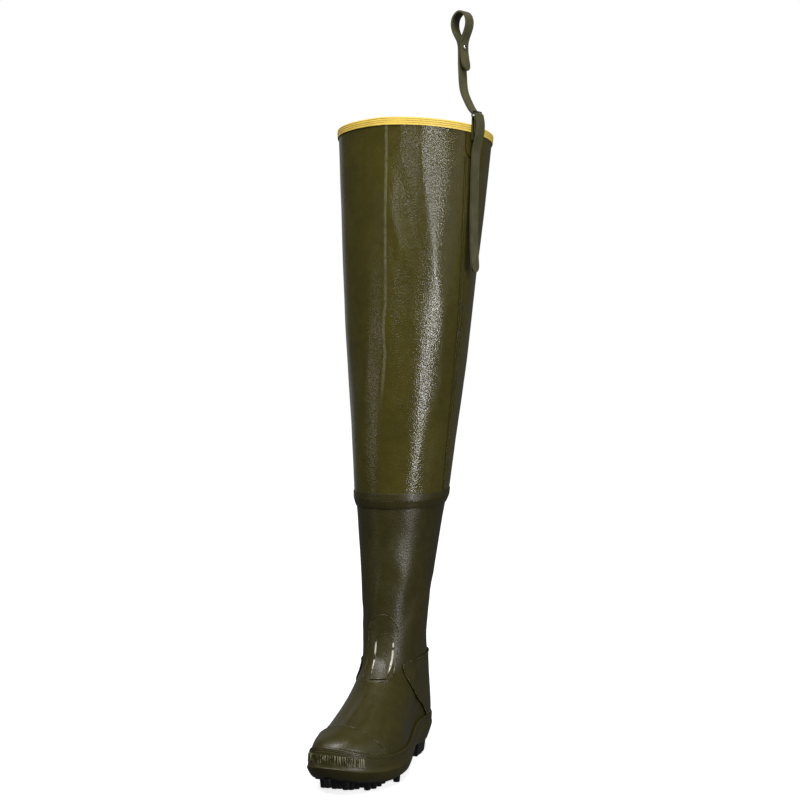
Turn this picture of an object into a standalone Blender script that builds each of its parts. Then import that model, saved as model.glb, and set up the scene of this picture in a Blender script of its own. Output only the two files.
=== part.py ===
"""Hip wader for the left foot, standing empty on its sole.

The toe points to -Y, the outer side is +X and +Z is up. The origin is the middle of the
heel's ground face. Every piece of the boot is cut from one form: rings that start as the
outline of the sole, climb over the foot and become the rings of the leg. A place on the
form is u, the share of the way round from the front over the outer side, and v, the
number of the ring. Lengths are in metres.
"""

import math

import bmesh
import bpy
import numpy as np
from mathutils import Vector

# Overall sizes

RIM_HEIGHT = 0.810  # floor to the middle of the rim
SOLE_LENGTH = 0.302  # over the foxing
BALL_WIDTH = 0.112  # over the foxing
HEEL_WIDTH = 0.080  # over the foxing
HEEL_SEAT = 0.027  # floor to the top of the outsole at the heel
INSTEP_RISE = 0.1165  # outsole to the bend at the front of the ankle
TOE_SPRING = 0.014

ANKLE_HEIGHT = 0.160
ANKLE_WIDTH = 0.077
ANKLE_DEPTH = 0.113
KNEE_HEIGHT = 0.338
KNEE_WIDTH = 0.116
KNEE_DEPTH = 0.150
RIM_WIDTH = 0.199
RIM_DEPTH = 0.210
ANKLE_SET_BACK = -0.0255  # middle of the ankle, from the middle of the heel
KNEE_SET_BACK = 0.000
RIM_SET_BACK = 0.037
KNEE_SET_OUT = 0.001
RIM_SET_OUT = 0.007
LEG_TILT = math.radians(5.3)  # each ring of the leg is higher at the front

# Walls and clearances

GAP = 0.0003
UPPER_WALL = 0.003
SHAFT_WALL = 0.0016
SHEET = 0.0045  # outsole without its cleats
CLEAT_HEIGHT = 0.0085
CLEAT_RADIUS = 0.0051
CLEAT_TAPER = 0.0011
CLEAT_PITCH = 0.0140
CLEAT_ROW = 0.0128  # from one row across the foot to the next
CLEAT_MARGIN = 0.0070  # from a cleat's middle to the edge of the outsole
CLEAT_SIDES = 8
CLEAT_END = 0.51  # share of the foot's length, from the heel, where the cleats begin
SHEET_CHAMFER = 0.0015
INSOLE_THICK = 0.003
INSOLE_CLEARANCE = 0.0006
HEEL_BLOCK_LENGTH = 0.073
HEEL_BLOCK_TAPER = 0.003
HEEL_GROOVE_DEPTH = 0.002
HEEL_GROOVE_WIDTH = 0.004
HEEL_GROOVE_PITCH = 0.018
FOXING_THICK = 0.0036
FOXING_LIP = 0.0050
FOXING_STEP_RISE = 0.0105
FOXING_DROP = 0.0028  # how far it covers the edge of the outsole
FOXING_HEEL_DROP = 0.0085  # how much further it covers the heel block
FOXING_DROP_TURNS = (0.155, 0.215)  # from the heel's back, where that begins and ends
FOXING_TOE_RISE = 0.033
FOXING_SIDE_RISE = 0.026
FOXING_HEEL_RISE = 0.021
OVERLAY = 0.0010
PATCH = 0.0012
ANKLE_STRIP_HALF = 0.0190  # half the width of the strip up the front of the ankle
ANKLE_STRIP_TURN = 0.0165  # how far its middle stands towards the outer side
ANKLE_STRIP_RINGS = (7.0, 9.63)
INSTEP_PATCH_HALF = 0.0100
INSTEP_PATCH_TURN = 0.0310
INSTEP_PATCH_RINGS = (7.1, 9.03)
TOE_CAP_COLUMNS = 7  # columns of the form on each side of its middle

# Collar, bands and straps

FRONT_FOLD = 0.0035  # height of the soft corner down the front and back of the shaft
LAP = 0.012  # upper inside the shaft at the knee
BAND_LOW_HEIGHT = 0.0125
BAND_HIGH_HEIGHT = 0.0085
BAND_THICK = 0.0009
BINDING_HEIGHT = 0.0105
BINDING_THICK = 0.0011
TAPE_WIDTH = 0.009
TAPE_THICK = 0.0008
TAPE_LOW_U = 0.236  # its place round the boot at the knee
TAPE_HIGH_U = 0.170  # and at the rim
TAB_WIDTH = 0.024
TAB_HEIGHT = 0.031
TAB_THICK = 0.0010
STRAP_WIDTH = 0.0145
STRAP_LEAN = 0.0172  # how far the loop stands in from the strap's foot
STRAP_STEP = 0.0115  # how much of that the strap steps in just above the ring
LEAN_START = 0.24  # of the strap's reach, where that step ends
LEAN_END = 0.50  # of the strap's reach, from where it stands upright
STRAP_THICK = 0.0026
STRAP_TAIL = 0.188  # below the rim
STRAP_REACH = 0.148  # above the rim
HOLDER_WIDTH = 0.014
HOLDER_THICK = 0.0012
HOLDER_LEG = 0.020  # below the rim
HOLDER_RISE = 0.008  # from the rim to the ring's lower bar
LOOP_HALF = 0.0125  # half the loop's width at the top of the strap
RIVET_SHARE = 0.676  # of the strap's reach
RING_WIRE = 0.0012  # radius
RING_CLEAR = 0.0010  # each side of the strap
RING_CORNER = 0.0022
STUD_RADIUS = 0.0034
STUD_HEIGHT = 0.0015
STEM_RADIUS = 0.0013

AROUND = 48  # columns of every ring
SHARP_EDGE = math.radians(40)
STRAP_U = 0.186  # the strap's place round the collar
SNAP_U = 0.735  # the snap's

FOX_OUT = GAP + FOXING_LIP
FOOT_LENGTH = SOLE_LENGTH - 2 * FOX_OUT
BALL_HALF = BALL_WIDTH / 2 - FOX_OUT
HEEL_HALF = HEEL_WIDTH / 2 - FOX_OUT
HEEL_TUCK = 0.012  # share of the foot's length that the sole's edge tucks in at the heel
HEEL_BACK = (HEEL_BLOCK_LENGTH + HEEL_BLOCK_TAPER) / 2 + HEEL_TUCK * FOOT_LENGTH
FORE_SEAT = SHEET + CLEAT_HEIGHT
SHAFT_IN = GAP
SHAFT_OUT = SHAFT_IN + SHAFT_WALL

# Shares of the foot's length, from the back of the heel

SEAT_END = 0.27
ARCH_END = 0.49
BALL_LINE = 0.76

# Rings of the foot. front and back are shares of the foot's length from the heel; the
# rises are shares of the instep's rise; toe and ball are shares of half the ball's
# width, and waist and heel of half the heel's width; follow is 1 where a ring keeps to
# the curve of the sole; curve is what is left of the last's inward curve.

FOOT_COLUMNS = (
    "front", "back", "front_rise", "back_rise", "toe", "ball", "waist", "heel", "follow", "curve",
)
FOOT_RINGS = (
    (0.982, HEEL_TUCK, 0.000, 0.000, 1.13, 1.02, 1.01, 1.50, 1.00, 1.00),  # feather line
    (1.000, 0.000, 0.095, 0.110, 1.19, 1.02, 1.07, 1.66, 1.00, 1.00),  # fullest outline
    (0.997, 0.000, 0.225, 0.255, 1.16, 1.00, 1.10, 1.66, 0.90, 1.00),  # foxing's edge
    (0.968, 0.001, 0.350, 0.370, 1.10, 0.94, 1.12, 1.63, 0.70, 0.98),  # toe box
    (0.890, 0.003, 0.465, 0.489, 0.98, 0.85, 1.11, 1.57, 0.50, 0.90),  # toe cap's edge
    (0.775, 0.008, 0.575, 0.600, 0.85, 0.775, 1.10, 1.50, 0.30, 0.70),  # vamp
    (0.650, 0.012, 0.695, 0.704, 0.75, 0.72, 1.10, 1.41, 0.15, 0.45),  # lower instep
    (0.534, 0.016, 0.828, 0.807, 0.71, 0.70, 1.10, 1.32, 0.05, 0.25),  # upper instep
    (0.450, 0.020, 1.000, 0.927, 0.71, 0.72, 1.13, 1.24, 0.00, 0.10),  # bend
)

# Rings of the leg. station is 0 at the ankle, 1 at the knee and 2 at the rim, and girth
# is where between the same three sizes the ring's width and depth lie.

LEG_COLUMNS = ("station", "girth")
LEG_RINGS = (
    (0.00, 0.00),
    (0.22, 0.15),
    (0.50, 0.40),
    (0.78, 0.69),
    (1.00, 1.00),
    (1.25, 1.27),
    (1.50, 1.56),
    (1.75, 1.81),
    (2.00, 2.00),
)
KNEE_RING = len(FOOT_RINGS) + 4
LAST_RING = len(FOOT_RINGS) + len(LEG_RINGS) - 1

# The last's inward curve: the middle line's shift as a share of half the ball's width,
# at shares of the foot's length.

CURVE_AT = (0.00, 0.35, 0.66, 0.75, 0.90, 1.00)
CURVE_SHIFT = (0.00, 0.09, 0.14, 0.14, 0.01, -0.11)

# The counter's front edge: its place round the boot at each ring.

COUNTER_RINGS = (1.6, 3.0, 4.0, 5.0, 6.0, 7.0, 7.8)
COUNTER_FRONT = (0.352, 0.325, 0.295, 0.262, 0.222, 0.170, 0.130)
TOE_CAP_RING = 4.35  # the toe cap's edge, where it crosses the middle of the foot


def sole_height(y):
    """Top of the outsole at each y: heel seat, arch, flat ball and toe spring."""
    share = (HEEL_BACK - np.asarray(y, float)) / FOOT_LENGTH
    drop = np.clip((share - SEAT_END) / (ARCH_END - SEAT_END), 0, 1)
    drop = drop * drop * (3 - 2 * drop)
    spring = np.clip((share - BALL_LINE) / (1 - BALL_LINE), 0, None)
    return HEEL_SEAT + (FORE_SEAT - HEEL_SEAT) * drop + TOE_SPRING * spring**2


def ring_table():
    """Every ring in metres: front, back, their heights, four widths, follow, curve, shift."""
    table = []
    for row in FOOT_RINGS:
        ring = dict(zip(FOOT_COLUMNS, row))
        front = HEEL_BACK - ring["front"] * FOOT_LENGTH
        back = HEEL_BACK - ring["back"] * FOOT_LENGTH
        front_z = float(sole_height(front)) + GAP + ring["front_rise"] * INSTEP_RISE
        back_z = float(sole_height(back)) + GAP + ring["back_rise"] * INSTEP_RISE
        widths = [ring["toe"] * BALL_HALF, ring["ball"] * BALL_HALF]
        widths += [ring["waist"] * HEEL_HALF, ring["heel"] * HEEL_HALF]
        table.append([front, back, front_z, back_z, *widths, ring["follow"], ring["curve"], 0])
    for row in LEG_RINGS:
        ring = dict(zip(LEG_COLUMNS, row))
        stations = (0, 1, 2)
        height = np.interp(ring["station"], stations, (ANKLE_HEIGHT, KNEE_HEIGHT, RIM_HEIGHT))
        middle = np.interp(
            ring["station"], stations, (ANKLE_SET_BACK, KNEE_SET_BACK, RIM_SET_BACK)
        )
        width = np.interp(ring["girth"], stations, (ANKLE_WIDTH, KNEE_WIDTH, RIM_WIDTH))
        depth = np.interp(ring["girth"], stations, (ANKLE_DEPTH, KNEE_DEPTH, RIM_DEPTH))
        shift = np.interp(ring["station"], stations, (0, KNEE_SET_OUT, RIM_SET_OUT))
        lift = depth / 2 * math.tan(LEG_TILT)
        ends = [middle - depth / 2, middle + depth / 2, height + lift, height - lift]
        table.append([*ends, *[width / 2] * 4, 0, 0, shift])
    return np.array(table)


RINGS = ring_table()


def through(values, at):
    """A smooth curve through rows of values, read at a number of rows from the first."""
    values = np.asarray(values, float)
    at = np.clip(np.asarray(at, float), 0, len(values) - 1)
    low = np.minimum(at.astype(int), len(values) - 2)
    part = (at - low).reshape(at.shape + (1,) * (values.ndim - 1))
    before = 2 * values[0] - values[1]
    after = 2 * values[-1] - values[-2]
    padded = np.concatenate(([before], values, [after]))
    a, b, c, d = (padded[low + step] for step in range(4))
    slope_b = (c - a) / 2
    slope_c = (d - b) / 2
    cubic = 2 * b - 2 * c + slope_b + slope_c
    square = -3 * b + 3 * c - 2 * slope_b - slope_c
    return ((cubic * part + square) * part + slope_b) * part + b


def form(u, v):
    """Points of the boot's outer form."""
    u, v = np.broadcast_arrays(np.asarray(u, float) % 1, np.asarray(v, float))
    side = np.where(u < 0.5, 1.0, -1.0)
    turn = np.where(u < 0.5, 2 * u, 2 - 2 * u)
    share = (1 - np.cos(math.pi * turn)) / 2
    ring = through(RINGS, v)
    front, back, front_z, back_z = (ring[..., i] for i in range(4))
    toe, ball, waist, heel = (ring[..., i] for i in range(4, 8))
    nose = 2 * toe - ball
    tail = 1.5 * heel - 0.5 * waist
    stations = np.stack((nose, toe, ball, waist, heel, tail))
    fullness = fullness_at(stations, turn * 5)
    y = front + (back - front) * share
    flat = front_z + (back_z - front_z) * share
    chord = sole_height(front) + (sole_height(back) - sole_height(front)) * share
    z = flat + ring[..., 8] * (sole_height(y) - chord)
    along = (HEEL_BACK - y) / FOOT_LENGTH
    middle = smooth_interp(along, CURVE_AT, CURVE_SHIFT) * BALL_HALF * ring[..., 9]
    x = middle + ring[..., 10] + side * fullness * np.sin(math.pi * turn)
    y = y + fold(turn, v)
    return np.stack((x, y, z), axis=-1)


def fullness_at(stations, at):
    """Smooth fullness between the six stations of one half of a ring."""
    low = np.clip(at.astype(int), 0, 4)
    part = at - low
    before = 2 * stations[0] - stations[1]
    after = 2 * stations[5] - stations[4]
    padded = np.concatenate(([before], stations, [after]))
    a, b, c, d = (np.take_along_axis(padded, (low + step)[None], 0)[0] for step in range(4))
    curve = b + part * (c - a) / 2
    curve += part**2 * (a - 2.5 * b + 2 * c - 0.5 * d)
    return curve + part**3 * (1.5 * (b - c) + 0.5 * (d - a))


def smooth_interp(x, at, values):
    """Interpolation that eases in and out of each listed value."""
    x = np.clip(x, at[0], at[-1])
    low = np.clip(np.searchsorted(at, x, side="right") - 1, 0, len(at) - 2)
    start = np.take(at, low)
    part = (x - start) / (np.take(at, low + 1) - start)
    part = part * part * (3 - 2 * part)
    return np.take(values, low) * (1 - part) + np.take(values, low + 1) * part


def fold(turn, v):
    """The soft corner that the shaft keeps at the front and back from being stored flat."""
    strength = np.clip((v - KNEE_RING) / (LAST_RING - KNEE_RING), 0, 1)
    strength = FRONT_FOLD * np.sqrt(strength)
    front = np.exp(-((turn / 0.07) ** 2)) - 0.45 * np.exp(-(((turn - 0.19) / 0.09) ** 2))
    rest = 1 - turn
    back = np.exp(-((rest / 0.07) ** 2)) - 0.45 * np.exp(-(((rest - 0.19) / 0.09) ** 2))
    return strength * (back - front)


def normals(u, v):
    """Outward directions of the form."""
    step_u, step_v = 0.004, 0.05
    low = np.clip(np.asarray(v) - step_v, 0, LAST_RING - 2 * step_v)
    around = form(np.asarray(u) + step_u, v) - form(np.asarray(u) - step_u, v)
    up = form(u, low + 2 * step_v) - form(u, low)
    out = np.cross(around, up)
    return out / np.linalg.norm(out, axis=-1, keepdims=True)


# The rings that the upper and the shaft have vertices on: overlays lie on the same flats.

LEVELS = np.array(sorted([float(i) for i in range(LAST_RING + 1)] + [2.5, 3.5]))
TURNS = np.arange(AROUND + 1) / AROUND
FLATS = form(TURNS[None, :], LEVELS[:, None])


def skin(u, v, out=0.0):
    """Points on the form's flats, moved out along its normals."""
    u, v, out = np.broadcast_arrays(*(np.asarray(a, float) for a in (u, v, out)))
    v = np.clip(v, 0, LAST_RING)
    row = np.clip(np.searchsorted(LEVELS, v, side="right") - 1, 0, len(LEVELS) - 2)
    up = ((v - LEVELS[row]) / (LEVELS[row + 1] - LEVELS[row]))[..., None]
    place = (u % 1) * AROUND
    column = np.minimum(place.astype(int), AROUND - 1)
    across = (place - column)[..., None]
    outer_side = (column < AROUND // 2)[..., None]
    near, far = FLATS[row, column], FLATS[row, column + 1]
    above, beyond = FLATS[row + 1, column], FLATS[row + 1, column + 1]
    first = near + across * (far - near) + up * (above - near)
    second = beyond + (1 - across) * (above - beyond) + (1 - up) * (far - beyond)
    outer = np.where(across + up <= 1, first, second)
    first = near + across * (far - near) + up * (beyond - far)
    second = near + up * (above - near) + across * (beyond - above)
    inner = np.where(across >= up, first, second)
    return np.where(outer_side, outer, inner) + normals(u, v) * out[..., None]


def level(height):
    """The ring of the leg whose middle is at a height."""
    fine = np.linspace(len(FOOT_RINGS), LAST_RING, 200)
    ring = through(RINGS, fine)
    return float(np.interp(height, (ring[:, 2] + ring[:, 3]) / 2, fine))


def climb(u, rise):
    """The ring at which the form stands a rise above the sole, at each u."""
    low = np.zeros_like(u)
    high = np.full_like(u, float(len(FOOT_RINGS) - 1))
    for _ in range(30):
        middle = (low + high) / 2
        point = form(u, middle)
        above = point[..., 2] - sole_height(point[..., 1]) - GAP > rise
        high = np.where(above, middle, high)
        low = np.where(above, low, middle)
    return (low + high) / 2


def half_way(u, v, length):
    """The change of u that moves a length round the form."""
    step = 0.01
    reach = np.linalg.norm(form(u + step, v) - form(u - step, v), axis=-1)
    return length * 2 * step / reach


# Blender objects

def finish(name, mesh, colour, roughness, metallic=0.0):
    """A named object with its own material, its faces turned outwards."""
    bm = bmesh.new()
    bm.from_mesh(mesh)
    bmesh.ops.recalc_face_normals(bm, faces=bm.faces)
    bm.to_mesh(mesh)
    bm.free()
    material = bpy.data.materials.new(name)
    material.use_nodes = True
    shader = material.node_tree.nodes["Principled BSDF"]
    shader.inputs["Base Color"].default_value = (*colour, 1)
    shader.inputs["Roughness"].default_value = roughness
    shader.inputs["Metallic"].default_value = metallic
    mesh.materials.append(material)
    mesh.shade_smooth()
    mesh.set_sharp_from_angle(angle=SHARP_EDGE)
    piece = bpy.data.objects.new(name, mesh)
    bpy.context.collection.objects.link(piece)
    return piece


def solid(name, points, faces, colour, roughness, metallic=0.0):
    mesh = bpy.data.meshes.new(name)
    mesh.from_pydata([tuple(p) for p in points], [], faces)
    return finish(name, mesh, colour, roughness, metallic)


def halves(near, far, beyond, above, outer_side):
    """Two triangles of a quad, cut along the way that the rings lean on that side."""
    if outer_side:
        return [(near, far, above), (far, beyond, above)]
    return [(near, far, beyond), (near, beyond, above)]


def hoop(name, rings, colour, roughness):
    """A closed band round the boot from rings of points that go round its section."""
    count = len(rings[0])
    faces = []
    for i in range(len(rings)):
        j = (i + 1) % len(rings)
        for k in range(count):
            m = (k + 1) % count
            quad = (i * count + k, i * count + m, j * count + m, j * count + k)
            lower = i < len(rings) - 1 and rings[j][:, 2].mean() < rings[i][:, 2].mean()
            faces += halves(*quad, (k < count // 2) != lower)
    return solid(name, np.concatenate(rings), faces, colour, roughness)


def plate(name, outer, inner, colour, roughness, metallic=0.0, turns=None):
    """A closed sheet from two grids of points of the same shape, and the walls between."""
    rows, columns = outer.shape[:2]
    total = rows * columns
    faces = []
    for i in range(rows - 1):
        for k in range(columns - 1):
            a = i * columns + k
            quad = (a, a + 1, a + columns + 1, a + columns)
            middle = 0 if turns is None else (turns[i, k] + turns[i, k + 1]) / 2 % 1
            for face in halves(*quad, middle < 0.5):
                faces.append(face)
                faces.append(tuple(total + corner for corner in reversed(face)))
    edge = [k for k in range(columns)]
    edge += [i * columns + columns - 1 for i in range(1, rows)]
    edge += [(rows - 1) * columns + k for k in range(columns - 2, -1, -1)]
    edge += [i * columns for i in range(rows - 2, 0, -1)]
    for a, b in zip(edge, edge[1:] + edge[:1]):
        faces.append((b, a, total + a, total + b))
    points = np.concatenate((outer.reshape(-1, 3), inner.reshape(-1, 3)))
    return solid(name, points, faces, colour, roughness, metallic)


def slab(name, rings, colour, roughness):
    """A solid between outlines that pair up from side to side, closed flat across."""
    count = len(rings[0])
    faces = []
    for i in range(len(rings) - 1):
        for k in range(count):
            m = (k + 1) % count
            faces.append((i * count + k, i * count + m, (i + 1) * count + m, (i + 1) * count + k))
    for base in (0, (len(rings) - 1) * count):
        for k in range(count // 2):
            strip = (base + k, base + k + 1, base + (count - k - 1) % count, base + (count - k) % count)
            faces.append(tuple(dict.fromkeys(strip)))
    return solid(name, np.concatenate(rings), faces, colour, roughness)


def turned(name, profile, foot, axis, sides, colour, roughness, metallic):
    """A round solid from radius and height pairs about an axis through its foot."""
    axis = Vector(axis).normalized()
    across = axis.orthogonal().normalized()
    beside = axis.cross(across)
    points = []
    for radius, height in profile:
        for k in range(sides):
            angle = 2 * math.pi * k / sides
            arm = across * (radius * math.cos(angle)) + beside * (radius * math.sin(angle))
            points.append(Vector(foot) + arm + axis * height)
    faces = []
    for i in range(len(profile) - 1):
        for k in range(sides):
            m = (k + 1) % sides
            faces.append((i * sides + k, i * sides + m, (i + 1) * sides + m, (i + 1) * sides + k))
    faces.append(tuple(range(sides)))
    faces.append(tuple((len(profile) - 1) * sides + k for k in reversed(range(sides))))
    return solid(name, points, faces, colour, roughness, metallic)


def cut_by(piece, cutter, operation):
    """A Boolean on a piece, with its cutter kept as a hidden guide."""
    cutter.hide_render = True
    cutter.display_type = "WIRE"
    modifier = piece.modifiers.new(operation.title(), "BOOLEAN")
    modifier.operation = operation
    modifier.solver = "EXACT"
    modifier.object = cutter


# Colours

BOOT_GREEN = (0.052, 0.046, 0.014)
SHAFT_GREEN = (0.068, 0.060, 0.017)
YELLOW = (0.85, 0.55, 0.06)
STRAP_GREEN = (0.085, 0.080, 0.040)
BLACK = (0.006, 0.006, 0.006)
METAL = (0.55, 0.55, 0.55)
DARK_METAL = (0.04, 0.04, 0.04)
BOARD = (0.20, 0.18, 0.13)

U = np.arange(AROUND) / AROUND


def outline(turns, out, drop):
    """The sole's edge line, moved out level and down."""
    point = form(turns, 0.0)
    away = normals(turns, 0.0)
    away[..., 2] = 0
    away /= np.linalg.norm(away, axis=-1, keepdims=True)
    point = point + away * out
    point[..., 2] -= drop
    return point


def make_upper():
    top = level(KNEE_HEIGHT)
    outer = [v for v in LEVELS if v < top - 0.1] + [top]
    inner = [top, 11.0, 9.0, 8.0, 7.0, 6.0, 5.0, 4.0, 3.0, 2.0, 1.0, 0.0]
    rings = [skin(U, v) for v in outer] + [skin(U, v, -UPPER_WALL) for v in inner]
    rings[-1][:, 2] = rings[0][:, 2]
    hoop("upper", rings, BOOT_GREEN, 0.42)


def make_shaft():
    bottom = level(KNEE_HEIGHT - LAP)
    top = level(RIM_HEIGHT - BINDING_THICK - GAP)
    levels = [bottom] + [v for v in LEVELS if bottom + 0.1 < v < top - 0.1] + [top]
    rings = [skin(U, v, SHAFT_OUT) for v in levels]
    rings += [skin(U, v, SHAFT_IN) for v in reversed(levels)]
    hoop("shaft", rings, SHAFT_GREEN, 0.38)


def make_bands():
    """The two bands at the knee: the lower one steps from the upper on to the shaft."""
    joint = level(KNEE_HEIGHT - LAP)
    seam = KNEE_HEIGHT - LAP - BAND_LOW_HEIGHT * 0.4
    low = level(seam)
    high = level(seam + BAND_LOW_HEIGHT)
    step = (high - low) * 0.06
    outside = SHAFT_OUT + GAP + BAND_THICK
    section = (
        (low, GAP), (joint - step, GAP), (joint - step, SHAFT_OUT + GAP), (high, SHAFT_OUT + GAP),
        (high, outside), (low, GAP + BAND_THICK),
    )
    hoop("knee_band_low", [skin(U, v, out) for v, out in section], BOOT_GREEN, 0.42)
    start = level(seam + BAND_LOW_HEIGHT + GAP)
    end = level(seam + BAND_LOW_HEIGHT + GAP + BAND_HIGH_HEIGHT)
    section = (
        (start, SHAFT_OUT + GAP), (end, SHAFT_OUT + GAP),
        (end, SHAFT_OUT + GAP + BAND_THICK * 0.7), (start, outside),
    )
    hoop("knee_band_high", [skin(U, v, out) for v, out in section], BOOT_GREEN, 0.42)
    return end


def make_binding():
    """The yellow binding, folded over the collar's edge."""
    top = level(RIM_HEIGHT)
    edge = level(RIM_HEIGHT - BINDING_THICK)
    low = level(RIM_HEIGHT - BINDING_HEIGHT)
    outside = SHAFT_OUT + GAP + BINDING_THICK
    inside = SHAFT_IN - GAP - BINDING_THICK
    section = (
        (low, SHAFT_OUT + GAP), (edge, SHAFT_OUT + GAP), (edge, SHAFT_IN - GAP),
        (low, SHAFT_IN - GAP), (low, inside), (edge, inside),
        (top, (SHAFT_IN + SHAFT_OUT) / 2), (edge, outside), (low, outside),
    )
    hoop("rim_binding", [skin(U, v, out) for v, out in section], YELLOW, 0.45)
    return low


def make_outsole():
    """The outsole's sheet with a field of round cleats under the forefoot."""
    rings = [outline(U, 0.0, GAP), outline(U, 0.0, SHEET / 2 + GAP)]
    rings.append(outline(U, -SHEET_CHAMFER, SHEET + GAP))
    sheet = slab("outsole", rings, BLACK, 0.6)
    field = bmesh.new()
    rows = int(FOOT_LENGTH / CLEAT_ROW)
    for row in range(rows):
        y = HEEL_BACK - FOOT_LENGTH + CLEAT_MARGIN + row * CLEAT_ROW
        if (HEEL_BACK - y) / FOOT_LENGTH < CLEAT_END:
            break
        left, right = sole_sides(y)
        middle = (left + right) / 2
        reach = (right - left) / 2 - CLEAT_MARGIN
        count = int(reach / CLEAT_PITCH) + 1
        for column in range(-count, count + 1):
            x = middle + column * CLEAT_PITCH
            if abs(x - middle) <= reach:
                add_cleat(field, x, y)
    mesh = bpy.data.meshes.new("cleat_field")
    field.to_mesh(mesh)
    field.free()
    cleats = finish("cleat_field", mesh, BLACK, 0.6)
    cut_by(sheet, cleats, "UNION")


def sole_sides(y):
    """The inner and outer x of the sole's edge at a y."""
    fine = np.linspace(0, 0.5, 200)
    right = outline(fine, 0.0, 0.0)
    left = outline(1 - fine, 0.0, 0.0)
    return float(np.interp(y, left[:, 1], left[:, 0])), float(np.interp(y, right[:, 1], right[:, 0]))


def add_cleat(field, x, y):
    """One cleat with a level foot, its root sunk into the sheet."""
    root = float(sole_height(y)) - SHEET / 2
    foot = float(sole_height(y)) - FORE_SEAT
    rings = []
    for height, radius in ((foot, CLEAT_RADIUS - CLEAT_TAPER), (root, CLEAT_RADIUS)):
        ring = []
        for k in range(CLEAT_SIDES):
            angle = 2 * math.pi * (k + 0.5) / CLEAT_SIDES
            spot = (x + radius * math.cos(angle), y + radius * math.sin(angle), height)
            ring.append(field.verts.new(spot))
        rings.append(ring)
    for k in range(CLEAT_SIDES):
        m = (k + 1) % CLEAT_SIDES
        field.faces.new((rings[0][k], rings[0][m], rings[1][m], rings[1][k]))
    field.faces.new(list(reversed(rings[0])))
    field.faces.new(rings[1])


def make_heel():
    """The heel block: tapered sides, a straight breast and bars across its ground face."""
    edge = outline(np.array([0.0, 0.5]), 0.0, 0.0)[:, 1]
    share = (edge[1] - HEEL_BLOCK_LENGTH - edge[0]) / (edge[1] - edge[0])
    breast = math.acos(1 - 2 * share) / (2 * math.pi)
    outer = np.linspace(breast, 0.5, 9)
    turns = np.concatenate((outer, 1 - outer[-2::-1]))
    rings = []
    for height, inset in ((HEEL_SEAT - SHEET - GAP, 0.0), (0.0, HEEL_BLOCK_TAPER)):
        ring = outline(turns, -inset, 0.0)
        ring[:, 2] = height
        rings.append(ring)
    count = len(turns)
    faces = []
    for k in range(count):
        m = (k + 1) % count
        faces.append((k, m, count + m, count + k))
    for base in (0, count):
        for k in range(count // 2):
            strip = (base + k, base + k + 1, base + count - 2 - k, base + count - 1 - k)
            faces.append(tuple(dict.fromkeys(strip)))
    block = solid("heel", np.concatenate(rings), faces, BLACK, 0.6)
    grooves = bmesh.new()
    for side in (-1.5, -0.5, 0.5, 1.5):
        cube = bmesh.ops.create_cube(grooves, size=1)["verts"]
        size = (HEEL_WIDTH * 2, HEEL_GROOVE_WIDTH, HEEL_GROOVE_DEPTH * 2)
        bmesh.ops.scale(grooves, vec=size, verts=cube)
        bmesh.ops.translate(grooves, vec=(0, side * HEEL_GROOVE_PITCH, 0), verts=cube)
    mesh = bpy.data.meshes.new("heel_grooves")
    grooves.to_mesh(mesh)
    grooves.free()
    cut_by(block, finish("heel_grooves", mesh, BLACK, 0.6), "DIFFERENCE")


def make_insole():
    inset = -(UPPER_WALL + INSOLE_CLEARANCE)
    rings = [outline(U, inset, 0.0), outline(U, inset, -INSOLE_THICK)]
    slab("insole", rings, BOARD, 0.8)


def foxing_rise(turns):
    """Height of the foxing's edge above the sole, round the boot."""
    side = np.where(turns < 0.5, 2 * turns, 2 - 2 * turns)
    values = (FOXING_TOE_RISE, FOXING_SIDE_RISE, FOXING_SIDE_RISE, FOXING_HEEL_RISE)
    return smooth_interp(side, (0.05, 0.42, 0.60, 0.95), values)


def foxing_drop(turns):
    """How far the band reaches below the form's lower edge: further round the heel block."""
    full, none = FOXING_DROP_TURNS
    share = np.clip((none - np.abs(turns - 0.5)) / (none - full), 0, 1)
    return FOXING_DROP + FOXING_HEEL_DROP * share * share * (3 - 2 * share)


def make_foxing():
    """The side band: drops past the sole's edge, steps out to a lip and ends in a bead."""
    top = climb(U, foxing_rise(U))
    step = climb(U, np.full_like(U, FOXING_STEP_RISE))
    outside = GAP + FOXING_THICK
    lip = GAP + FOXING_LIP
    lower = np.where(top > 2.05, 2.0, 1 + (top - 1) * 0.6)
    upper = np.where(top > 2.55, 2.5, (lower + top) / 2)
    drop = foxing_drop(U)
    rings = [outline(U, GAP, drop)]
    rings += [skin(U, v, GAP) for v in (0.0, 1.0, lower, upper, top)]
    rings.append(skin(U, top, outside * 0.85))
    rings.append(skin(U, top - 0.16, outside))
    rings.append(skin(U, step + 0.12, outside * 0.85))
    rings.append(skin(U, step, lip))
    rings.append(skin(U, step * 0.45, lip * 0.95))
    rings.append(outline(U, GAP + FOXING_THICK * 0.45, drop * 0.9))
    hoop("foxing", rings, BOOT_GREEN, 0.42)


def overlay(name, turns, levels, inside, thick, colour=BOOT_GREEN, roughness=0.42):
    """A sheet on the form over a grid of places, with its edges eased."""
    outer = skin(turns, levels, inside + thick)
    inner = skin(turns, levels, inside)
    return plate(name, outer, inner, colour, roughness, turns=turns)


def between(lines, bottom, top):
    """The form's own ring lines, held between a bottom and a top edge at each u."""
    lines = np.concatenate(([0.0], lines, [float(LAST_RING)]))
    least = 0.03
    order = np.arange(len(lines))[:, None]
    low = bottom[None, :] + least * order
    high = top[None, :] - least * order[::-1]
    return np.clip(lines[:, None], low, high)


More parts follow.
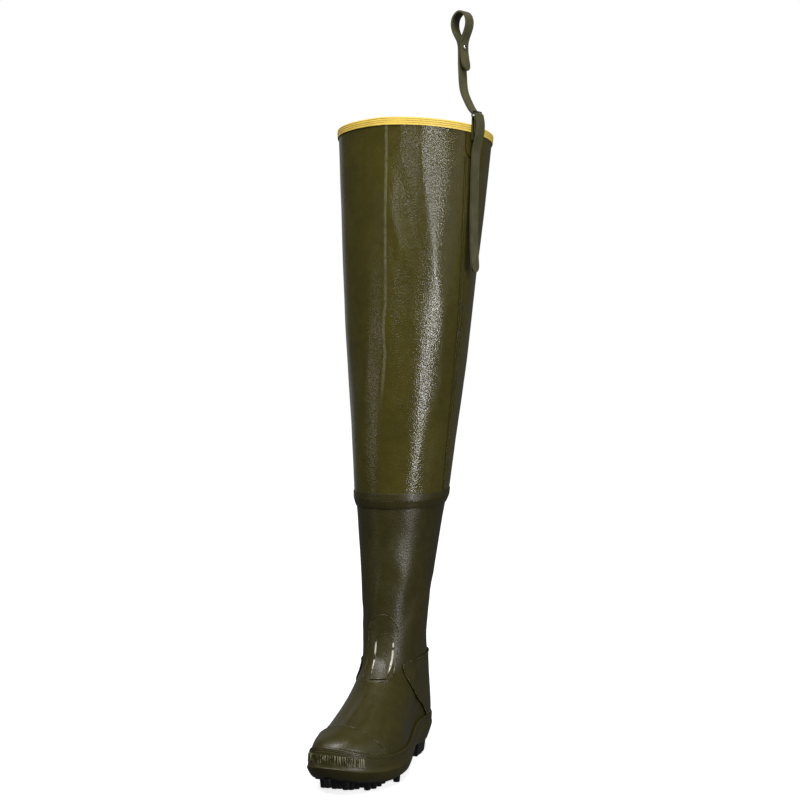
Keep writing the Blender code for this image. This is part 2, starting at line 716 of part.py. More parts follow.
def make_toe_cap():
    """The cap over the toe box, from the foxing to its edge across the vamp."""
    reach = TOE_CAP_COLUMNS
    turns = np.arange(-reach, reach + 1) / AROUND
    bottom = climb(turns % 1, foxing_rise(turns % 1)) + 0.05
    across = np.abs(turns) * AROUND / reach
    top = TOE_CAP_RING - (TOE_CAP_RING - bottom[0] - 0.25) * across**2.4
    levels = between((2.5, 3.0, 3.5, 4.0), bottom, top)
    overlay("toe_cap", np.broadcast_to(turns, levels.shape), levels, 2 * GAP, OVERLAY)


def make_counter():
    """The counter, from the foxing round the heel to its edge at the ankle."""
    back = np.arange(17, AROUND - 16) / AROUND
    squeeze = np.linspace(0, 1, 8)[:-1]
    grid = np.array((1.9, 2.0, 2.5, 3.0, 4.0, 5.0, 6.0, 6.5, 7.0, 7.4, 7.8))
    front = np.interp(grid, COUNTER_RINGS, COUNTER_FRONT)[:, None]
    sides = front + (back[0] - front) * squeeze
    turns = np.hstack((sides, np.broadcast_to(back, (len(grid), len(back))), 1 - sides[:, ::-1]))
    levels = np.broadcast_to(grid[:, None], turns.shape).copy()
    levels[0] = climb(turns[0], foxing_rise(turns[0])) + 0.08
    levels[1] = np.maximum(2.0, levels[0] + 0.03)
    overlay("counter", turns, levels, 3 * GAP, OVERLAY)


def arched(name, middle, half_wide, low, high, inside, thick, columns=5, colour=BOOT_GREEN):
    """A tongue of sheet from ring low to its round end at ring high, above or below it."""
    run = np.linalg.norm(form(middle, high) - form(middle, (low + high) / 2))
    arc = half_wide / (run * 2) * (high - low)
    start = high - arc
    levels = [low, start] + [start + arc * math.sin(math.radians(a)) for a in (30, 55, 75, 87)]
    inner = sorted((low, high))
    levels += [v for v in LEVELS if inner[0] + 0.1 < v < inner[1] - abs(arc) * 0.5]
    levels = np.array(sorted(levels, reverse=bool(low > high)))
    part = np.clip((levels - start) / arc, 0, 1)
    half = np.array([half_way(middle, v, half_wide) for v in levels]) * np.sqrt(1 - part**2)
    turns = middle + half[:, None] * np.linspace(-1, 1, columns)[None, :]
    grid = np.broadcast_to(levels[:, None], turns.shape)
    return overlay(name, turns, grid, inside, thick, colour)


def make_front_patches():
    """The strip up the front of the ankle and the smaller patch on it."""
    strip_in = 2 * GAP
    patch_in = strip_in + OVERLAY + 2 * GAP
    strip = (ANKLE_STRIP_TURN, ANKLE_STRIP_HALF, *ANKLE_STRIP_RINGS)
    patch = (INSTEP_PATCH_TURN, INSTEP_PATCH_HALF, *INSTEP_PATCH_RINGS)
    arched("ankle_strip", *strip, strip_in, OVERLAY, 9)
    arched("instep_patch", *patch, patch_in, PATCH, 5)


def make_tape(low, high):
    """The lapped strip down the outer side of the shaft."""
    quarters = np.arange(KNEE_RING * 4, LAST_RING * 4) / 4
    levels = np.array([low] + [v for v in quarters if low + 0.1 < v < high - 0.1] + [high])
    share = (levels - KNEE_RING) / (LAST_RING - KNEE_RING)
    middle = TAPE_LOW_U + (TAPE_HIGH_U - TAPE_LOW_U) * share
    half = np.array([half_way(m, v, TAPE_WIDTH / 2) for m, v in zip(middle, levels)])
    turns = middle[:, None] + half[:, None] * np.linspace(-1, 1, 3)[None, :]
    grid = np.broadcast_to(levels[:, None], turns.shape)
    overlay("seam_tape", turns, grid, SHAFT_OUT + GAP, TAPE_THICK, SHAFT_GREEN)


def make_tabs(top):
    """The two tabs under the collar, and the ring of the shaft where they end."""
    low = level(RIM_HEIGHT - BINDING_HEIGHT - TAB_HEIGHT)
    high = top - (top - low) * 0.02
    inside = SHAFT_OUT + GAP
    for name, middle in (("strap_tab", STRAP_U), ("snap_tab", SNAP_U)):
        arched(name, middle, TAB_WIDTH / 2, high, low, inside, TAB_THICK, colour=SHAFT_GREEN)
    place = (low + high) / 2
    foot = skin(SNAP_U, place, inside + TAB_THICK + GAP)
    axis = normals(SNAP_U, place)
    turned("snap_stud", stud_profile(), foot, axis, 12, METAL, 0.3, 1.0)
    return low


def stud_profile():
    return (
        (STUD_RADIUS, 0.0), (STUD_RADIUS, STUD_HEIGHT * 0.35),
        (STUD_RADIUS * 0.75, STUD_HEIGHT * 0.85), (STUD_RADIUS * 0.3, STUD_HEIGHT),
    )


class Hanger:
    """The plane that stands outwards from the rim at the strap, for pieces that hang there."""

    def __init__(self):
        self.origin = Vector(skin(STRAP_U, LAST_RING, SHAFT_OUT + GAP + BINDING_THICK))
        out = Vector(normals(STRAP_U, LAST_RING))
        self.out = Vector((out.x, out.y, 0)).normalized()
        self.along = Vector((0, 0, 1)).cross(self.out)

    def place(self, out, up, along=0.0):
        return self.origin + self.out * out + Vector((0, 0, up)) + self.along * along

    def ribbon(self, name, route, count, width, thick, round_ends, colour):
        """A strap of one thickness along a route of out and up pairs."""
        line = through(route, np.linspace(0, len(route) - 1, 400))
        run = np.concatenate(([0], np.cumsum(np.linalg.norm(np.diff(line, axis=0), axis=1))))
        ends = np.linspace(0, run[-1], count)
        if round_ends:
            extra = np.array([0.12, 0.45]) * width / 2
            ends = np.sort(np.concatenate((ends, extra, run[-1] - extra)))
        line = np.stack([np.interp(ends, run, line[:, i]) for i in range(2)], axis=1)
        heading = np.gradient(line, axis=0)
        heading /= np.linalg.norm(heading, axis=1, keepdims=True)
        side = np.stack((-heading[:, 1], heading[:, 0]), axis=1) * thick / 2
        near = np.minimum(ends, run[-1] - ends) if round_ends else np.full(len(ends), width)
        part = np.clip(1 - near / (width / 2), 0, 0.92)
        half = width / 2 * np.sqrt(1 - part**2)
        grids = []
        for sign in (1, -1):
            grid = []
            for spot, off, wide in zip(line, side, half):
                out, up = spot + off * sign
                grid.append([self.place(out, up, along) for along in (-wide, wide)])
            grids.append(np.array(grid))
        return plate(name, grids[0], grids[1], colour, 0.5)


def make_strap(hanger):
    """The belt strap: a riveted loop, the leg down to the ring, and the tail outside."""
    holder = HOLDER_THICK / 2 + GAP
    bar_out = holder * 2 + RING_WIRE + HOLDER_THICK / 2
    bar_up = HOLDER_RISE
    wrap = RING_WIRE + 2 * GAP + HOLDER_THICK / 2
    wrap_top = bar_up + wrap + HOLDER_THICK / 2
    strap_up = wrap_top + 2 * GAP + STRAP_THICK / 2
    thick = STRAP_THICK
    tail_out = bar_out + wrap + HOLDER_THICK / 2 + GAP + 1.04 * thick
    inner_leg = bar_out - wrap
    legs = (-HOLDER_LEG, -0.6 * HOLDER_LEG, -0.1 * HOLDER_LEG, bar_up - HOLDER_THICK)
    route = [(inner_leg, up) for up in legs]
    for k in range(1, 6):
        angle = math.pi * (1 - k / 6)
        route.append((bar_out + wrap * math.cos(angle), bar_up + wrap * math.sin(angle)))
    route += [(bar_out + wrap, up) for up in legs[:0:-1]]
    route = np.array(route)
    hanger.ribbon("ring_holder", route, 18, HOLDER_WIDTH, HOLDER_THICK, False, STRAP_GREEN)

    leg = -1.35 * thick
    touch = thick + GAP
    reach = STRAP_REACH
    rivet_up = RIVET_SHARE * reach
    route = np.array([
        (leg + touch + 1.92 * thick, 0.475 * reach), (leg + touch + 1.31 * thick, 0.53 * reach),
        (leg + touch + 0.38 * thick, 0.61 * reach), (leg + touch, rivet_up),
        (leg + touch + 0.46 * thick, 0.745 * reach), (leg + 0.75 * LOOP_HALF, 0.81 * reach),
        (leg + LOOP_HALF, 0.88 * reach), (leg + 0.78 * LOOP_HALF, 0.95 * reach),
        (leg + 0.2 * thick, reach - thick / 2), (leg - 0.78 * LOOP_HALF, 0.95 * reach),
        (leg - LOOP_HALF, 0.88 * reach), (leg - 0.72 * LOOP_HALF, 0.80 * reach),
        (leg - 0.85 * thick, 0.735 * reach), (leg, rivet_up), (leg, 0.60 * reach),
        (leg, 0.45 * reach), (leg, 0.30 * reach), (leg, 0.19 * reach),
        (leg + 0.15 * thick, strap_up + 3.65 * thick), (leg + 0.77 * thick, strap_up + 1.54 * thick),
        (leg + 1.92 * thick, strap_up + 0.27 * thick), (bar_out, strap_up),
        (tail_out - 0.96 * thick, strap_up - 0.19 * thick),
        (tail_out - 0.19 * thick, strap_up - 1.38 * thick), (tail_out, strap_up - 3.27 * thick),
        (tail_out, -3.85 * thick), (tail_out - 2.8 * thick, -0.19 * STRAP_TAIL),
        (tail_out - 3.7 * thick, -0.45 * STRAP_TAIL), (tail_out - 4.0 * thick, -0.66 * STRAP_TAIL),
        (tail_out - 3.8 * thick, -0.84 * STRAP_TAIL), (tail_out - 3.0 * thick, -STRAP_TAIL),
    ])
    route[:, 0] -= strap_lean(route[:, 1], strap_up)
    strap = hanger.ribbon("strap", route, 58, STRAP_WIDTH, STRAP_THICK, True, STRAP_GREEN)
    middle = hanger.place(leg + touch / 2 - strap_lean(rivet_up, strap_up), rivet_up)
    span = touch + STRAP_THICK
    bore = ((STEM_RADIUS + GAP, -span), (STEM_RADIUS + GAP, span))
    hole = turned("strap_hole", bore, middle, hanger.out, 10, METAL, 0.3, 1.0)
    cut_by(strap, hole, "DIFFERENCE")
    face = span / 2 + 3 * GAP
    profile = [(STUD_RADIUS * 0.8, -face - STUD_HEIGHT), (STUD_RADIUS, -face)]
    profile += [(STEM_RADIUS, -face), (STEM_RADIUS, face)]
    profile += [(radius, face + height) for radius, height in stud_profile()]
    turned("strap_rivet", profile, middle, hanger.out, 12, METAL, 0.3, 1.0)
    make_ring(hanger, bar_out, bar_up, strap_up + STRAP_THICK / 2 + 3 * GAP + RING_WIRE)


def strap_lean(up, foot):
    """How far inwards the strap stands at a height above the rim: steady from under its rivet."""
    step = np.clip((up - foot) / (LEAN_START * STRAP_REACH), 0, 1)
    rise = np.clip((up - foot) / (LEAN_END * STRAP_REACH - foot), 0, 1)
    return STRAP_STEP * step * step * (3 - 2 * step) + (STRAP_LEAN - STRAP_STEP) * rise


def make_ring(hanger, out, low, high):
    """The wire loop: a rounded rectangle that the holder and the strap pass through."""
    half = STRAP_WIDTH / 2 + RING_CLEAR + RING_WIRE
    corner = RING_CORNER
    centre = (low + high) / 2
    rise = (high - low) / 2
    route = []
    for quarter in range(4):
        along = (half - corner) * (1 if quarter in (0, 3) else -1)
        up = (rise - corner) * (1 if quarter in (0, 1) else -1)
        for step in range(4):
            angle = math.pi / 2 * (quarter + step / 3)
            route.append((along + corner * math.cos(angle), up + corner * math.sin(angle)))
    rings = []
    for k in range(6):
        angle = 2 * math.pi * k / 6
        ring = []
        for along, up in route:
            length = math.hypot(along / half, up / rise)
            away = (along / half / length, up / rise / length)
            grow = RING_WIRE * math.cos(angle)
            depth = RING_WIRE * math.sin(angle)
            high_up = centre + up + away[1] * grow
            ring.append(hanger.place(out + depth, high_up, along + away[0] * grow))
        rings.append(np.array(ring))
    hoop("ring", rings, DARK_METAL, 0.35)


def main():
    for old in list(bpy.data.objects):
        bpy.data.objects.remove(old)
    make_outsole()
    make_heel()
    make_insole()
    make_upper()
    make_foxing()
    make_toe_cap()
    make_counter()
    make_front_patches()
    make_shaft()
    bands_end = make_bands()
    binding_low = make_binding()
    tabs_end = make_tabs(binding_low)
    make_tape(bands_end + 0.01, tabs_end - 0.01)
    make_strap(Hanger())


main()
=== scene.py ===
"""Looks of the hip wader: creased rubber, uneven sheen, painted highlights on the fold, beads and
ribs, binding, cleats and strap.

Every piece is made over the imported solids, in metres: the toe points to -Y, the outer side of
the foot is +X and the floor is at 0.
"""

import math

import bmesh
import bpy
import numpy as np
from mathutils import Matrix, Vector, noise
from mathutils.bvhtree import BVHTree
from mathutils.kdtree import KDTree


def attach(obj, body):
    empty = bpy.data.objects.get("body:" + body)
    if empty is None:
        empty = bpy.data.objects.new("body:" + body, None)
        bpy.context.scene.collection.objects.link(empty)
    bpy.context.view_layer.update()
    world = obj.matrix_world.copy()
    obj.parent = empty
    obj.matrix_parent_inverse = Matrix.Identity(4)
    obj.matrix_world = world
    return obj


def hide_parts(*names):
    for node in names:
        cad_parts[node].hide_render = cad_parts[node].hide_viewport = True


bl_info = {
    "name": "Hip Wader",
    "version": (1, 0, 0),
    "blender": (4, 5, 0),
    "location": "View3D > Sidebar > Hip Wader",
    "description": "Builds the rubber, binding, sole and strap of a hip wader over its solids",
    "category": "Object",
}

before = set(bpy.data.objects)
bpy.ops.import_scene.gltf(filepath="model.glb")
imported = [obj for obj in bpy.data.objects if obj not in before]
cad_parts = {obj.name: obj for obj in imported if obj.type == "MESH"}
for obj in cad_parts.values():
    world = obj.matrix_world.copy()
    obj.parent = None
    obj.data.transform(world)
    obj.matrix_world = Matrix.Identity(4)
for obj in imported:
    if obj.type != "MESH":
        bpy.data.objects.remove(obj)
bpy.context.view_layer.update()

# The leg's middle line: height, x and y at the ankle, the knee and the rim.

LEG_HEIGHTS = (0.160, 0.338, 0.810)
LEG_X = (0.000, 0.001, 0.007)
LEG_Y = (-0.0255, 0.000, 0.037)
RIM_TILT = math.radians(5.3)

# The foot's middle, which its skin is pushed away from.

FOOT_CORE_HEIGHT = 0.034
FOOT_CORE_TOE = -0.205
FOOT_CORE_HEEL = -0.010
FOOT_CORE_SIDE = 0.003
FOOT_MIDDLE = -0.105  # where angles round the foot are taken from
FOOT_TO_LEG = (0.055, 0.150)  # heights between which the push turns from the foot's to the leg's

# Creases of the leg. turn is degrees from the front towards the outer side, lean is degrees
# from upright, and length, width and depth are in millimetres: a positive depth stands out.

CREASE_COLUMNS = ("turn", "height", "lean", "length", "width", "depth")
LEG_CREASES = (
    (5, 0.692, 24, 20, 4.5, 1.7),
    (12, 0.654, 6, 24, 7, 1.4),
    (14, 0.716, 20, 34, 6, -1.2),
    (10, 0.790, 4, 16, 5, 0.6),
    (8, 0.616, 0, 9, 6, 0.7),
    (44, 0.505, 84, 20, 6, -0.9),
    (56, 0.640, 2, 120, 14, -0.5),
    (-6, 0.538, 18, 14, 7, -1.6),
    (-17, 0.500, -8, 34, 9, 1.3),
    (-32, 0.540, 20, 40, 15, -1.0),
    (-3, 0.487, 4, 9, 4, 1.0),
    (8, 0.470, 62, 24, 10, -0.7),
    (12, 0.400, 70, 26, 12, -0.7),
    (-24, 0.410, 4, 40, 14, 0.8),
    (-48, 0.470, -8, 60, 18, -0.9),
    (52, 0.430, -10, 60, 14, -1.0),
    (-60, 0.700, 2, 90, 22, -0.9),
    (-32, 0.660, 2, 120, 20, -0.7),
    (-84, 0.560, 6, 70, 22, 1.6),
    (80, 0.560, -4, 80, 18, 1.4),
    (104, 0.640, 5, 80, 20, -1.8),
    (128, 0.520, -8, 60, 18, 1.6),
    (150, 0.690, 3, 90, 20, -1.8),
    (-112, 0.620, -4, 80, 20, -1.6),
    (-136, 0.500, 10, 60, 18, 1.5),
    (-152, 0.700, -3, 80, 20, -1.6),
    (170, 0.450, 62, 34, 12, -1.6),
    (-170, 0.520, 78, 30, 12, 1.4),
    (150, 0.400, 76, 36, 11, -1.4),
    (-140, 0.420, 70, 34, 11, -1.4),
    (10, 0.262, 2, 18, 12, 1.1),
    (-1, 0.222, -24, 26, 7, 1.3),
    (-12, 0.236, -20, 34, 8, -1.2),
    (14, 0.232, 34, 22, 10, -1.3),
    (30, 0.236, -26, 26, 10, 1.1),
    (44, 0.206, -22, 30, 9, -1.2),
    (24, 0.290, 12, 22, 12, -0.9),
    (-20, 0.290, -6, 34, 14, -1.0),
    (62, 0.270, -4, 50, 15, -1.0),
    (-70, 0.300, 4, 50, 16, 1.0),
    (110, 0.220, 66, 30, 11, -1.4),
    (-120, 0.210, -64, 30, 11, -1.4),
    (180, 0.190, 88, 34, 9, -1.8),
    (170, 0.230, 86, 30, 10, 1.2),
    (66, 0.182, 62, 26, 7, -1.3),
    (76, 0.166, 56, 24, 6, 1.0),
    (-66, 0.180, -60, 26, 7, -1.3),
    (-74, 0.162, -54, 22, 6, 1.0),
)

# Long folds of the shaft, from the knee up: their crest's height and turn, and how many
# millimetres it stands out.

FOLD_COLUMNS = ("height", "turn", "tall")
FRONT_FOLD = (
    (0.360, -1.0, 0.0), (0.440, -1.0, 0.2), (0.472, -0.6, 0.6), (0.497, 1.0, 1.0),
    (0.525, 1.8, 1.2), (0.542, 0.2, 1.3), (0.560, 0.2, 1.5), (0.580, 1.6, 1.6),
    (0.617, 1.2, 1.7), (0.667, 0.4, 1.7), (0.717, 0.2, 1.7), (0.780, 0.2, 1.6),
    (0.815, -0.6, 1.5),
)
SIDE_FOLD = (
    (0.350, 33.0, 0.0), (0.395, 36.0, 0.7), (0.427, 42.0, 1.0), (0.452, 50.0, 1.4),
    (0.477, 54.0, 2.0), (0.507, 53.0, 1.0), (0.545, 50.0, 2.2), (0.582, 50.0, 2.2),
    (0.622, 40.0, 2.0), (0.670, 36.0, 2.0), (0.690, 32.0, 2.1), (0.730, 27.0, 2.4),
    (0.767, 24.0, 2.8), (0.815, 22.0, 3.4),
)

# How far a fold's sides run out and how round its crest is, in millimetres.

FRONT_RUN = (9.5, 1.0)
SIDE_RUN = (14.0, 3.2)
FOLD_LINE_START = (0.445, 0.505)  # heights between which the front fold's raised line and its painted pale highlight begin

# Dents and bulges of the foot: where, which way the long axis runs, and millimetres.

DENT_COLUMNS = ("x", "y", "z", "run_x", "run_y", "run_z", "length", "width", "depth")
FOOT_DENTS = (
    (-0.034, -0.125, 0.062, 0.1, -1.0, -0.35, 44, 11, -1.5),
    (0.003, -0.170, 0.088, -0.05, -1.0, -0.36, 42, 6, 1.6),
    (-0.008, -0.160, 0.088, 0.0, -1.0, -0.36, 44, 6, -1.1),
    (0.024, -0.172, 0.082, 0.1, -1.0, -0.36, 38, 6, 1.4),
    (0.013, -0.166, 0.086, 0.05, -1.0, -0.36, 40, 5, -1.0),
    (0.036, -0.115, 0.090, 0.9, 0.1, -0.8, 26, 5, -1.6),
    (0.046, -0.135, 0.065, 0.5, -0.7, -0.6, 30, 7, 1.4),
    (0.036, -0.160, 0.074, 0.3, -1.0, -0.4, 34, 5, -1.3),
    (0.000, -0.088, 0.130, 1.0, 0.0, 0.0, 24, 7, -1.2),
    (0.028, -0.078, 0.118, 0.7, 0.7, 0.2, 22, 6, -1.5),
    (-0.028, -0.078, 0.118, -0.7, 0.7, 0.2, 22, 6, -1.3),
    (0.036, -0.050, 0.112, 0.5, 0.8, 0.3, 26, 6, 1.0),
    (-0.036, -0.050, 0.112, -0.5, 0.8, 0.3, 26, 6, 1.0),
    (0.042, -0.030, 0.130, 0.2, 1.0, 0.25, 26, 5, -1.2),
    (-0.042, -0.030, 0.130, -0.2, 1.0, 0.25, 26, 5, -1.1),
    (0.000, 0.034, 0.125, 1.0, 0.0, 0.0, 30, 8, -1.4),
    (0.042, -0.060, 0.075, 0.1, -0.8, -0.6, 30, 7, -0.9),
    (0.000, -0.170, 0.066, 1.0, 0.1, 0.0, 30, 7, -0.6),
)

MILLIMETRE = 0.001

# Heights between which the leg's creases and the foot's dents set in.

LEG_RELIEF_START = (0.130, 0.170)
FOOT_RELIEF_START = (0.040, 0.058)

# The slow unevenness of hand-laid rubber: waves in a metre, and millimetres.

RIPPLE_OFTEN = 26.0
RIPPLE_TALL = 0.45
RIPPLE_START = (0.030, 0.060)

# The binding and the knee bands hold the skin, so the creases are this much flatter there.

RIM_HOLD = 0.6
RIM_HELD = (0.785, 0.812)
KNEE_LAP = 0.332
KNEE_HOLD = 0.75
KNEE_HELD = 0.022

# The lap at the knee hangs lower in front than behind.

KNEE_SAG = 0.0085
KNEE_REACH = 0.045

# How far the cut edges are rounded where they don't follow the wader's own edge.

SOLE_EDGE = 0.0007
HEEL_EDGE = 0.0009
INSOLE_EDGE = 0.0006
STRAP_EDGE = 0.0005
HOLDER_EDGE = 0.0003
METAL_EDGE = 0.0003
SEAM_EDGE = 0.7  # share of the wader's own edge
SHARP = math.radians(55)  # edges sharper than this are rounded
FLAT_QUAD = math.radians(60)  # triangles that meet flatter than this are joined in pairs

# How far a face looks along the skin's push where it is on the outside, and on the inside.

OUTER_FACE = 0.55
INNER_FACE = -0.2

# A point of the side band's top edge has none within reach that stands above it.

CREST_REACH = 0.007
CREST_SLACK = 0.0004

# Ribs of the toe.

RIB_ARC = (-58, 26)  # degrees each side of the toe
RIB_SEARCH = 0.2  # degrees from one tried place to the next
RIB_DROP = 0.0138  # from the band's top edge to a rib's middle
RIB_THICK = 0.0017
RIB_WIDTH = 0.55  # share of the pitch
RIB_EDGE = 0.0006
RIB_TIP = 0.7  # share of the band's slope that a rib follows
TOE_CENTRE = FOOT_CORE_TOE + 0.045
TOE_RADIUS = 0.050
PAST_TOE = 0.120  # from the toe's centre to a point well outside it

# A bead of cement thins out within these heights above its lowest point, and partly within
# these below its highest. Between two shares of its height it carries pale painted highlights.

BEAD_FOOT = (0.002, 0.007)
BEAD_TOP = (0.004, 0.012)
BEAD_TOP_THIN = 0.7
BEAD_LUMPS = 300  # waves in a metre
GLINT_START = (0.10, 0.18)
GLINT_END = (0.74, 0.86)

# The seam's middle is found at some heights, from the points near each.

SEAM_STEPS = 40
SEAM_NEAR = 0.014

EYE_RADIUS = 0.0014  # the dark middle of a rivet, painted shade for its hollow

# Moulded lines of the side band, the seam's strip and the binding: how far they lie from the
# piece's edge or middle, and half their width.

BAND_LINES = ((0.0026, 0.0007), (0.0046, 0.0007))
SEAM_GROOVES = ((0.0026, 0.0009), (-0.0026, 0.0009))
BINDING_LINES = ((0.0032, 0.0007), (0.0058, 0.0007), (0.0082, 0.0006))
LINE_DEPTH = 0.0005
# The front fold's raised line: half its width and how far it stands out. Its pale tint is a painted
# highlight.
FOLD_LINE_HALF = 0.0024
FOLD_LINE_TALL = 0.0003

# Gloss and pebbles of the two olive rubbers.

BOOT_ROUGH = 0.35
BOOT_PEBBLE = 0.00026
SHAFT_ROUGH = 0.17
SHAFT_PEBBLE = 0.00032

# Colours that aren't among the wader's sizes.

# Painted shade in the seam strip's grooves.
GROOVE_SHADE = (0.010, 0.009, 0.003)
# Painted highlight along the front fold's crest.
FOLD_HIGHLIGHT = (0.20, 0.19, 0.12)
# Painted shade in the binding's lines.
YELLOW_LINE_SHADE = (0.55, 0.30, 0.03)
SOLE_BLACK = (0.007, 0.007, 0.007)
SOLE_RUBBED = (0.022, 0.021, 0.020)
LINING = (0.34, 0.29, 0.19)
LINING_LIGHT = (0.42, 0.36, 0.25)
LINING_DARK = (0.22, 0.18, 0.11)
FELT = (0.20, 0.17, 0.12)
FELT_LIGHT = (0.27, 0.24, 0.18)
FELT_HAIRS = (0.40, 0.37, 0.30)
BRIGHT_STEEL = (0.72, 0.71, 0.69)
DARK_STEEL = (0.09, 0.085, 0.08)
# Painted shade for a rivet's hollow middle.
EYE_SHADE = (0.01, 0.01, 0.01)
# Painted highlights: the pale glints of the cement beads, thick and thin.
CEMENT_GLINT = (0.66, 0.64, 0.50)
THIN_BEAD_GLINT = (0.10, 0.09, 0.04)
# Painted glints on the toe ribs.
RIB_GLINT = (0.30, 0.28, 0.18)

# The stage. All softboxes face one point, this high over the heel's middle.

LIT_HEIGHT = 0.45
FLOOR_DROP = 0.0002
FLOOR_GREY = (0.6, 0.6, 0.6)
WORLD_COLOUR = (0.92, 0.96, 1.0)
WORLD_STRENGTH = 0.08
LEG_CENTRE = -0.025  # the y that the camera is turned round
AIM_SIDE = 0.007
AIM_HEIGHT = 0.461
SENSOR = 36

# Softboxes: azimuth and elevation in degrees, distance, width and height in metres, and
# power in watts.

LIGHT_COLUMNS = ("azimuth", "elevation", "distance", "width", "height", "power")
LIGHTS = (
    (55, 19, 2.4, 0.22, 0.62, 8),
    (69, -0.5, 2.4, 0.20, 0.80, 16),
    (96, 12, 2.3, 0.5, 1.6, 2),
    (23, 17, 2.4, 0.26, 0.45, 2.6),
    (-50, -0.5, 2.4, 0.8, 0.16, 1.4),
    (165, 52, 2.4, 0.9, 0.5, 1.0),
    (-60, 50, 2.4, 0.5, 0.7, 2),
    (-138, 12, 2.6, 1.1, 2.0, 1.5),
    (24, 60, 2.6, 1.2, 1.2, 47),
    (-30, 48, 2.6, 1.0, 1.0, 25),
)


def eased(value, low, high):
    """0 below low, 1 above high and a smooth step between."""
    part = np.clip((value - low) / (high - low), 0, 1)
    return part * part * (3 - 2 * part)


def leg_middle(height):
    return np.interp(height, LEG_HEIGHTS, LEG_X), np.interp(height, LEG_HEIGHTS, LEG_Y)


def unit(vectors):
    return vectors / np.maximum(np.linalg.norm(vectors, axis=1, keepdims=True), 1e-6)


def outward(points):
    """The direction in which the boot's skin is pushed out at each point."""
    x, y, z = points.T
    middle_x, middle_y = leg_middle(z)
    leg = np.stack((x - middle_x, y - middle_y, np.zeros_like(z)), axis=1)
    core_y = np.clip(y, FOOT_CORE_TOE, FOOT_CORE_HEEL)
    foot = np.stack((x - FOOT_CORE_SIDE, y - core_y, z - FOOT_CORE_HEIGHT), axis=1)
    share = eased(z, *FOOT_TO_LEG)[:, None]
    return unit(unit(leg) * share + unit(foot) * (1 - share))


def turn_of(points):
    """Degrees round the leg from its front, and the distance from its middle."""
    middle_x, middle_y = leg_middle(points[:, 2])
    x, y = points[:, 0] - middle_x, points[:, 1] - middle_y
    return np.degrees(np.arctan2(x, -y)), np.hypot(x, y)


def fold_table(rows):
    return dict(zip(FOLD_COLUMNS, np.array(rows).T))


def beside_fold(points, rows):
    """How far each point lies from a long fold, in metres, towards the outer side."""
    fold = fold_table(rows)
    turn, reach = turn_of(points)
    return np.radians(turn - np.interp(points[:, 2], fold["height"], fold["turn"])) * reach


def long_fold(points, rows, run_out, crest_round):
    """The relief of one long fold, in millimetres."""
    fold = fold_table(rows)
    away = np.hypot(beside_fold(points, rows) / MILLIMETRE, crest_round)
    tall = np.interp(points[:, 2], fold["height"], fold["tall"], left=0)
    return tall * np.exp(-away / run_out)


def leg_relief(points):
    """Creases and long folds of the leg, in millimetres outwards."""
    turn, reach = turn_of(points)
    height = points[:, 2]
    relief = np.zeros(len(points))
    for row in LEG_CREASES:
        crease = dict(zip(CREASE_COLUMNS, row))
        around = (turn - crease["turn"] + 180) % 360 - 180
        across = np.radians(around) * reach / MILLIMETRE
        up = (height - crease["height"]) / MILLIMETRE
        lean = math.radians(crease["lean"])
        along = up * math.cos(lean) - across * math.sin(lean)
        beside = up * math.sin(lean) + across * math.cos(lean)
        span = (along / crease["length"]) ** 2 + (beside / crease["width"]) ** 2
        relief += crease["depth"] * np.exp(-span)
    relief += long_fold(points, FRONT_FOLD, *FRONT_RUN) + long_fold(points, SIDE_FOLD, *SIDE_RUN)
    return relief * eased(height, *LEG_RELIEF_START)


def foot_relief(points):
    """Dents and bulges of the foot, in millimetres outwards."""
    relief = np.zeros(len(points))
    for row in FOOT_DENTS:
        dent = dict(zip(DENT_COLUMNS, row))
        centre = np.array((dent["x"], dent["y"], dent["z"]))
        run = np.array((dent["run_x"], dent["run_y"], dent["run_z"]), float)
        run /= np.linalg.norm(run)
        offset = (points - centre) / MILLIMETRE
        along = offset @ run
        beside = np.linalg.norm(offset - along[:, None] * run, axis=1)
        span = (along / dent["length"]) ** 2 + (beside / dent["width"]) ** 2
        relief += dent["depth"] * np.exp(-span)
    return relief * eased(points[:, 2], *FOOT_RELIEF_START)


def ripple(points):
    """The slow unevenness of hand-laid rubber, in millimetres."""
    slow = [noise.noise(Vector(point) * RIPPLE_OFTEN) for point in points]
    return np.array(slow) * RIPPLE_TALL * eased(points[:, 2], *RIPPLE_START)


def near_lap(points, reach):
    """1 at the knee's lap, falling off above and below it."""
    return np.exp(-(((points[:, 2] - KNEE_LAP) / reach) ** 2))


def creased(points):
    """The points of any piece of the boot's skin, moved with its creases."""
    near_rim = 1 - RIM_HOLD * eased(points[:, 2], *RIM_HELD)
    near_knee = 1 - KNEE_HOLD * near_lap(points, KNEE_HELD)
    push = (leg_relief(points) * near_knee + foot_relief(points)) * near_rim + ripple(points)
    push *= bpy.context.scene.wader_sizes.crease_depth
    moved = points + outward(points) * (push * MILLIMETRE)[:, None]
    turn, _ = turn_of(points)
    moved[:, 2] -= KNEE_SAG * np.cos(np.radians(turn)) * near_lap(points, KNEE_REACH)
    return moved


# Meshes

def deselect():
    if bpy.context.mode != "OBJECT":
        bpy.ops.object.mode_set(mode="OBJECT")
    bpy.ops.object.select_all(action="DESELECT")


def take(piece):
    """Makes a piece the only one that operators act on."""
    deselect()
    piece.select_set(True)
    bpy.context.view_layer.objects.active = piece


